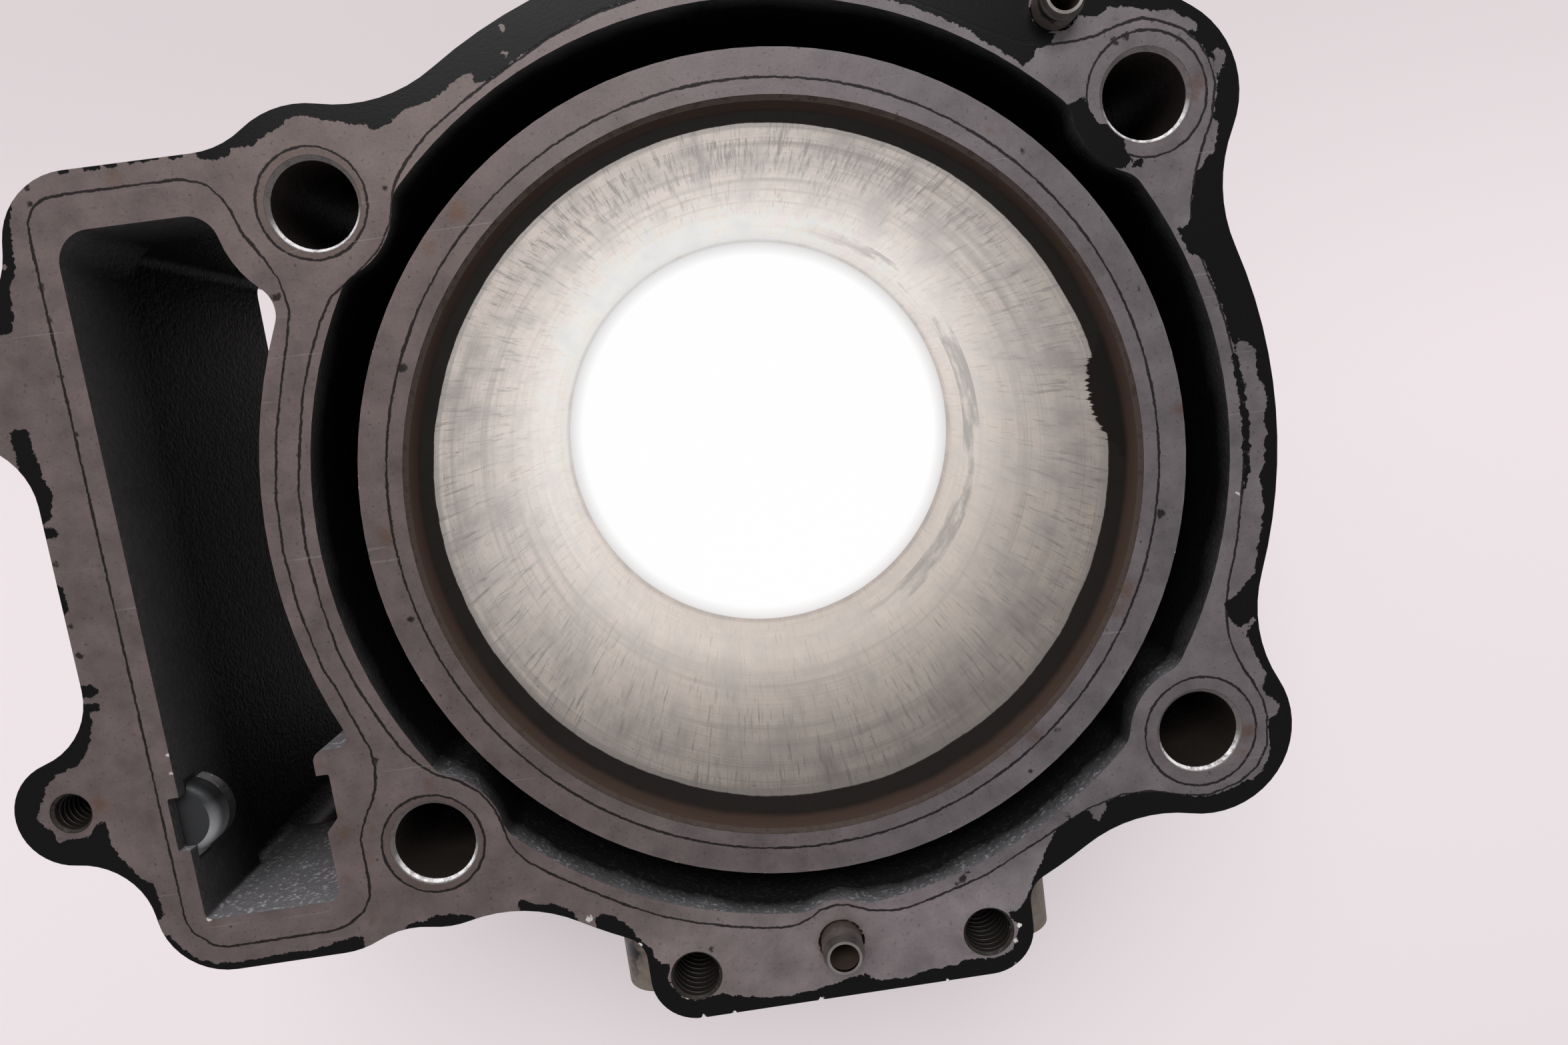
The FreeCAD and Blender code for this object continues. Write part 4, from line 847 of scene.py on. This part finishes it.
    # middle and reach of brown stains
    stain: tuple[Spot, ...] = (
        (-79.2, 50.4, 1.1), (-68.7, -30.5, 0.7), (-67.5, -37.5, 0.8), (-67.2, -40.5, 1.3),
        (-68, -47.5, 0.8), (-62.9, -37, 0.7), (-63.4, -40.5, 0.7), (-64.2, -45, 0.7), (-64.9, -49.5, 0.7),
        (-65.6, -54, 0.7), (-54.2, -35.4, 0.9), (-87.5, -51, 0.7), (62, 44.8, 1.3), (61.3, 43, 0.9),
        (61.8, -45, 1.5), (60.6, -48.2, 0.9), (56.1, 2, 1.3), (46.3, -22, 1.7), (44.8, -24.6, 1.3),
        (31, -41.3, 1.4), (27.2, -43.5, 0.8), (-99.2, -31.5, 1.6), (-102.5, -40.5, 1.2),
        (33.8, 42.2, 0.6), (35, 43.6, 0.5), (-53.5, 0, 1.4), (-36.8, 40.6, 1.6), (-41.2, 36.8, 1.1),
        (-103.2, -32.3, 2.9), (0, -67.8, 3.7),
    )
    # middle and reach of bright nicks
    nick: tuple[Spot, ...] = (
        (-35.4, -58.6, 0.6), (-28.8, -63.6, 0.4), (-21.5, -76.2, 0.5), (-17, -76.2, 0.4),
        (-4, -76.2, 0.5), (-87.9, -50.3, 0.35), (-88.6, -26, 0.4), (-88.6, -28.5, 0.4),
        (14.5, -76.2, 0.35), (25, -75.8, 0.6), (26, -69.3, 0.4), (25.3, -71.6, 0.4), (-23.2, -72.6, 0.5),
        (62.9, -10.4, 0.3), (63.7, -10.9, 0.3),
    )


@dataclass
class Deck:
    """The machined top of the casting, a thin skin that carries its marks."""

    lift: float = 0.005
    thickness: float = 0.025
    cell: float = 0.7
    marks: DeckMarks = DeckMarks()

    def sheet(self) -> bmesh.types.BMesh:
        """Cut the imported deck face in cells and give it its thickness.

        Returns:
            The skin's mesh.
        """
        mesh = level_copy(CASTING, DECK_HEIGHT)
        cell = self.cell * MM
        for axis in (0, 1):
            places = [vert.co[axis] for vert in mesh.verts]
            low, high = math.floor(min(places) / cell), math.ceil(max(places) / cell)
            cut_in_cells(mesh, mesh.faces[:], axis, low, high, cell)
        bmesh.ops.triangulate(mesh, faces=mesh.faces)
        bmesh.ops.translate(mesh, verts=mesh.verts, vec=(0, 0, (self.lift + self.thickness) * MM))
        bmesh.ops.solidify(mesh, geom=mesh.faces, thickness=self.thickness * MM)
        bmesh.ops.recalc_face_normals(mesh, faces=mesh.faces)
        return mesh

    def mark(self, data: bpy.types.Mesh) -> None:
        """Write what lies on the deck to the skin's points.

        Args:
            data: the skin's mesh data.
        """
        flat = np.empty(len(data.vertices) * 3)
        data.vertices.foreach_get("co", flat)
        points = flat.reshape(-1, 3)[:, :2] / MM
        paint = np.full(len(points), OUTSIDE)
        for outline in self.marks.overspray:
            paint = np.maximum(paint, inside_by(points, outline))
        for outline in self.marks.lost:
            paint = np.minimum(paint, -inside_by(points, outline))
        layers = {"paint": paint}
        for name in ("jacket_bead", "tunnel_bead"):
            layers[name] = inside_by(points, getattr(self.marks, name))
        for name in ("dirt", "stain", "nick"):
            layers[name] = inside_spots(points, getattr(self.marks, name))
        for name, values in layers.items():
            data.attributes.new(name, "FLOAT", "POINT").data.foreach_set("value", values)

    def build(self) -> bpy.types.Object:
        """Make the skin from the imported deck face."""
        piece = as_piece(self.sheet(), "deck_skin", Slot.CASTING, MachinedDeck().build())
        self.mark(piece.data)
        return piece


@dataclass
class Bore:
    """The plated wall of the bore, a thin tube that carries its wear."""

    radius: float = 50.0
    clearance: float = 0.005
    thickness: float = 0.03
    low: float = -24.4
    high: float = 111.4
    steps: int = 240
    rings: int = 24

    def build(self) -> bpy.types.Object:
        """Spin the tube's wall round the bore axis."""
        mesh = bmesh.new()
        outer = (self.radius - self.clearance) * MM
        inner = (self.radius - self.clearance - self.thickness) * MM
        corners = [(inner, self.high), (inner, self.low), (outer, self.low), (outer, self.high)]
        verts = [mesh.verts.new((across, 0, up * MM)) for across, up in corners]
        edges = [mesh.edges.new((verts[k], verts[(k + 1) % 4])) for k in range(4)]
        bmesh.ops.subdivide_edges(mesh, edges=[edges[0]], cuts=self.rings - 1)
        bmesh.ops.spin(
            mesh,
            geom=mesh.verts[:] + mesh.edges[:],
            cent=(0, 0, 0),
            axis=(0, 0, 1),
            angle=2 * math.pi,
            steps=self.steps,
            use_merge=True,
        )
        bmesh.ops.remove_doubles(mesh, verts=mesh.verts, dist=JOIN)
        bmesh.ops.recalc_face_normals(mesh, faces=mesh.faces)
        for face in mesh.faces:
            face.smooth = abs(face.normal.z) < 0.5
        return as_piece(mesh, "bore_plating", Slot.CASTING, HonedPlating().build())


@dataclass(frozen=True)
class Tap:
    """One tapped hole: where its mouth is, which way it runs and its thread."""

    mouth: tuple[float, float, float]
    into: tuple[float, float, float]
    core: float
    pitch: float
    depth: float
    crest: float = 0.22
    root: float = 0.04
    flank: float = 0.34
    steps: int = 28

    def build(self, mesh: bmesh.types.BMesh) -> None:
        """Spin the thread's ridge in the hole.

        Args:
            mesh: the mesh that takes the ridge.
        """
        turns = self.depth / self.pitch
        half = self.pitch * self.flank
        root = self.core + self.root
        corners = [(self.core - self.crest, 0.0), (root, half), (root, -half)]
        verts = [mesh.verts.new((across * MM, 0, up * MM)) for across, up in corners]
        bmesh.ops.spin(
            mesh,
            geom=[mesh.faces.new(verts)],
            cent=(0, 0, 0),
            axis=(0, 0, 1),
            dvec=(0, 0, -self.pitch / self.steps * MM),
            angle=-2 * math.pi * turns,
            steps=int(self.steps * turns),
            use_merge=False,
            use_duplicate=False,
        )
        turn = Vector((0, 0, -1)).rotation_difference(Vector(self.into)).to_matrix().to_4x4()
        move = Matrix.Translation(Vector(self.mouth) * MM) @ turn
        fresh = [vert for vert in mesh.verts if not vert.tag]
        bmesh.ops.transform(mesh, matrix=move, verts=fresh)
        for vert in fresh:
            vert.tag = True


@dataclass
class Threads:
    """The threads of all the tapped holes."""

    taps: tuple[Tap, ...] = (
        *(Tap((*spot, 111.0), (0, 0, -1), 3.35, 1.25, 17.0) for spot in EAR_TAPS),
        *(Tap((*spot, 111.0), (0, 0, -1), 2.5, 1.0, 13.0) for spot in LUG_TAPS),
        *(Tap((side, -78.0, 77.0), (0, 1, 0), 2.5, 1.0, 10.0) for side in (-25.0, 25.0)),
        Tap((-78.85, 54.0, 62.0), (0, -1, 0), 9.25, 1.5, 6.0, steps=56),
    )

    def build(self) -> bpy.types.Object:
        """Cut every thread."""
        mesh = bmesh.new()
        for tap in self.taps:
            tap.build(mesh)
        bmesh.ops.recalc_face_normals(mesh, faces=mesh.faces)
        for face in mesh.faces:
            face.smooth = len(face.verts) == 4
        return as_piece(mesh, "tapped_threads", Slot.CASTING, TappedMetal().build())


@dataclass
class Studio:
    """Floor, lights and camera."""

    floor_height: float = -25.0
    floor_side: float = 4000.0
    floor_tone: tuple[str, str] = ("#efe3e5", "#cfc3c5")
    room_tone: str = "#f0eef2"
    room_strength: float = 0.6
    lamp_size: tuple[float, float] = (0.9, 0.5)
    lamp_watts: float = 13.0
    lamp_place: tuple[float, float, float] = (-0.1, 0.75, 1.2)
    lamp_aim: tuple[float, float, float] = (0.0, 0.0, 0.1)
    lens: float = 24.0
    sensor: float = 36.0
    camera_place: tuple[float, float, float] = (-3.52, 13.47, 254.17)
    camera_roll: float = 7.73
    camera_tilt: tuple[float, float] = (0.13004188, 0.04236431)

    def board(self) -> bpy.types.Material:
        """Make the floor's finish, pale, with a painted glow on the disc under the bore that makes it look
        white through the bore.
        """
        finish = Finish("matt_white_board")
        add = finish.add
        place = add("TexCoord", out="Object")
        far = add("SeparateXYZ", place, out="Y")
        far = add("MapRange", far, -0.02, 0.14, 0.0, 1.0, interpolation_type="SMOOTHSTEP")
        plain = add("BsdfDiffuse", add("Mix:RGBA", far, *self.floor_tone))
        glow = add("Emission", "#ffffff", 1.0)
        rays = add("LightPath").node.outputs
        seen = add("Math:MAXIMUM", rays["Is Camera Ray"], rays["Is Glossy Ray"])
        seen = add("Math:MAXIMUM", seen, rays["Is Transmission Ray"])
        # painted light: the disc of floor under the bore glows nearly white, where the cylinder's shade
        # would fall
        bore_glow = add("MapRange", add("VectorMath:LENGTH", place), 0.06, 0.053, 0.2, 0.99)
        share = add("Math:MULTIPLY", seen, bore_glow)
        return finish.close(add("MixShader", share, plain, glow))

    def floor(self) -> None:
        """Lay the pale floor that the cylinder stands on."""
        mesh = bmesh.new()
        bmesh.ops.create_grid(mesh, x_segments=1, y_segments=1, size=self.floor_side / 2 * MM)
        bmesh.ops.translate(mesh, verts=mesh.verts, vec=(0, 0, self.floor_height * MM))
        as_object(mesh, "floor", self.board())

    def lights(self) -> None:
        """Hang one large soft lamp on the +Y side and a pale room round it."""
        world = bpy.data.worlds.new("pale_room")
        world.use_nodes = True
        room = world.node_tree.nodes["Background"].inputs
        room["Color"].default_value = linear(self.room_tone)
        room["Strength"].default_value = self.room_strength
        bpy.context.scene.world = world
        data = bpy.data.lights.new("softbox", "AREA")
        data.shape = "RECTANGLE"
        data.size, data.size_y = self.lamp_size
        data.energy = self.lamp_watts
        lamp = bpy.data.objects.new("softbox", data)
        lamp.location = self.lamp_place
        aim = Vector(self.lamp_aim) - lamp.location
        lamp.rotation_euler = aim.to_track_quat("-Z", "Y").to_euler()
        bpy.context.scene.collection.objects.link(lamp)

    def camera(self) -> None:
        """Set the camera at the place that the view was taken from."""
        data = bpy.data.cameras.new("camera")
        data.lens = self.lens
        data.sensor_width = self.sensor
        data.clip_start = 0.01
        camera = bpy.data.objects.new("camera", data)
        turn = Matrix.Rotation(self.camera_tilt[0], 4, "X") @ Matrix.Rotation(self.camera_tilt[1], 4, "Y")
        turn = turn @ Matrix.Rotation(math.radians(self.camera_roll), 4, "Z")
        camera.matrix_world = Matrix.Translation(Vector(self.camera_place) * MM) @ turn.transposed()
        bpy.context.scene.collection.objects.link(camera)
        bpy.context.scene.camera = camera

    def build(self) -> None:
        """Set the stage."""
        bpy.context.scene.view_settings.view_transform = "Standard"
        self.floor()
        self.lights()
        self.camera()


def main() -> None:
    """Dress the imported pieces, add the thin skins and set the stage."""
    logging.basicConfig(level=logging.INFO, format="%(name)s: %(message)s")
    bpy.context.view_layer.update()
    steel = TurnedSteel().build()
    finishes = {CASTING: PaintedCasting().build()} | {name: steel for name in DOWELS}
    for name, material in finishes.items():
        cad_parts[name].material_slots[0].material = material
        LOG.info("%s dressed", name)
    for part in (Deck(), Bore(), Threads()):
        piece = part.build()
        LOG.info("%s: %d faces", piece.name, len(piece.data.polygons))
    Studio().build()


if __name__ == "__main__":
    main()
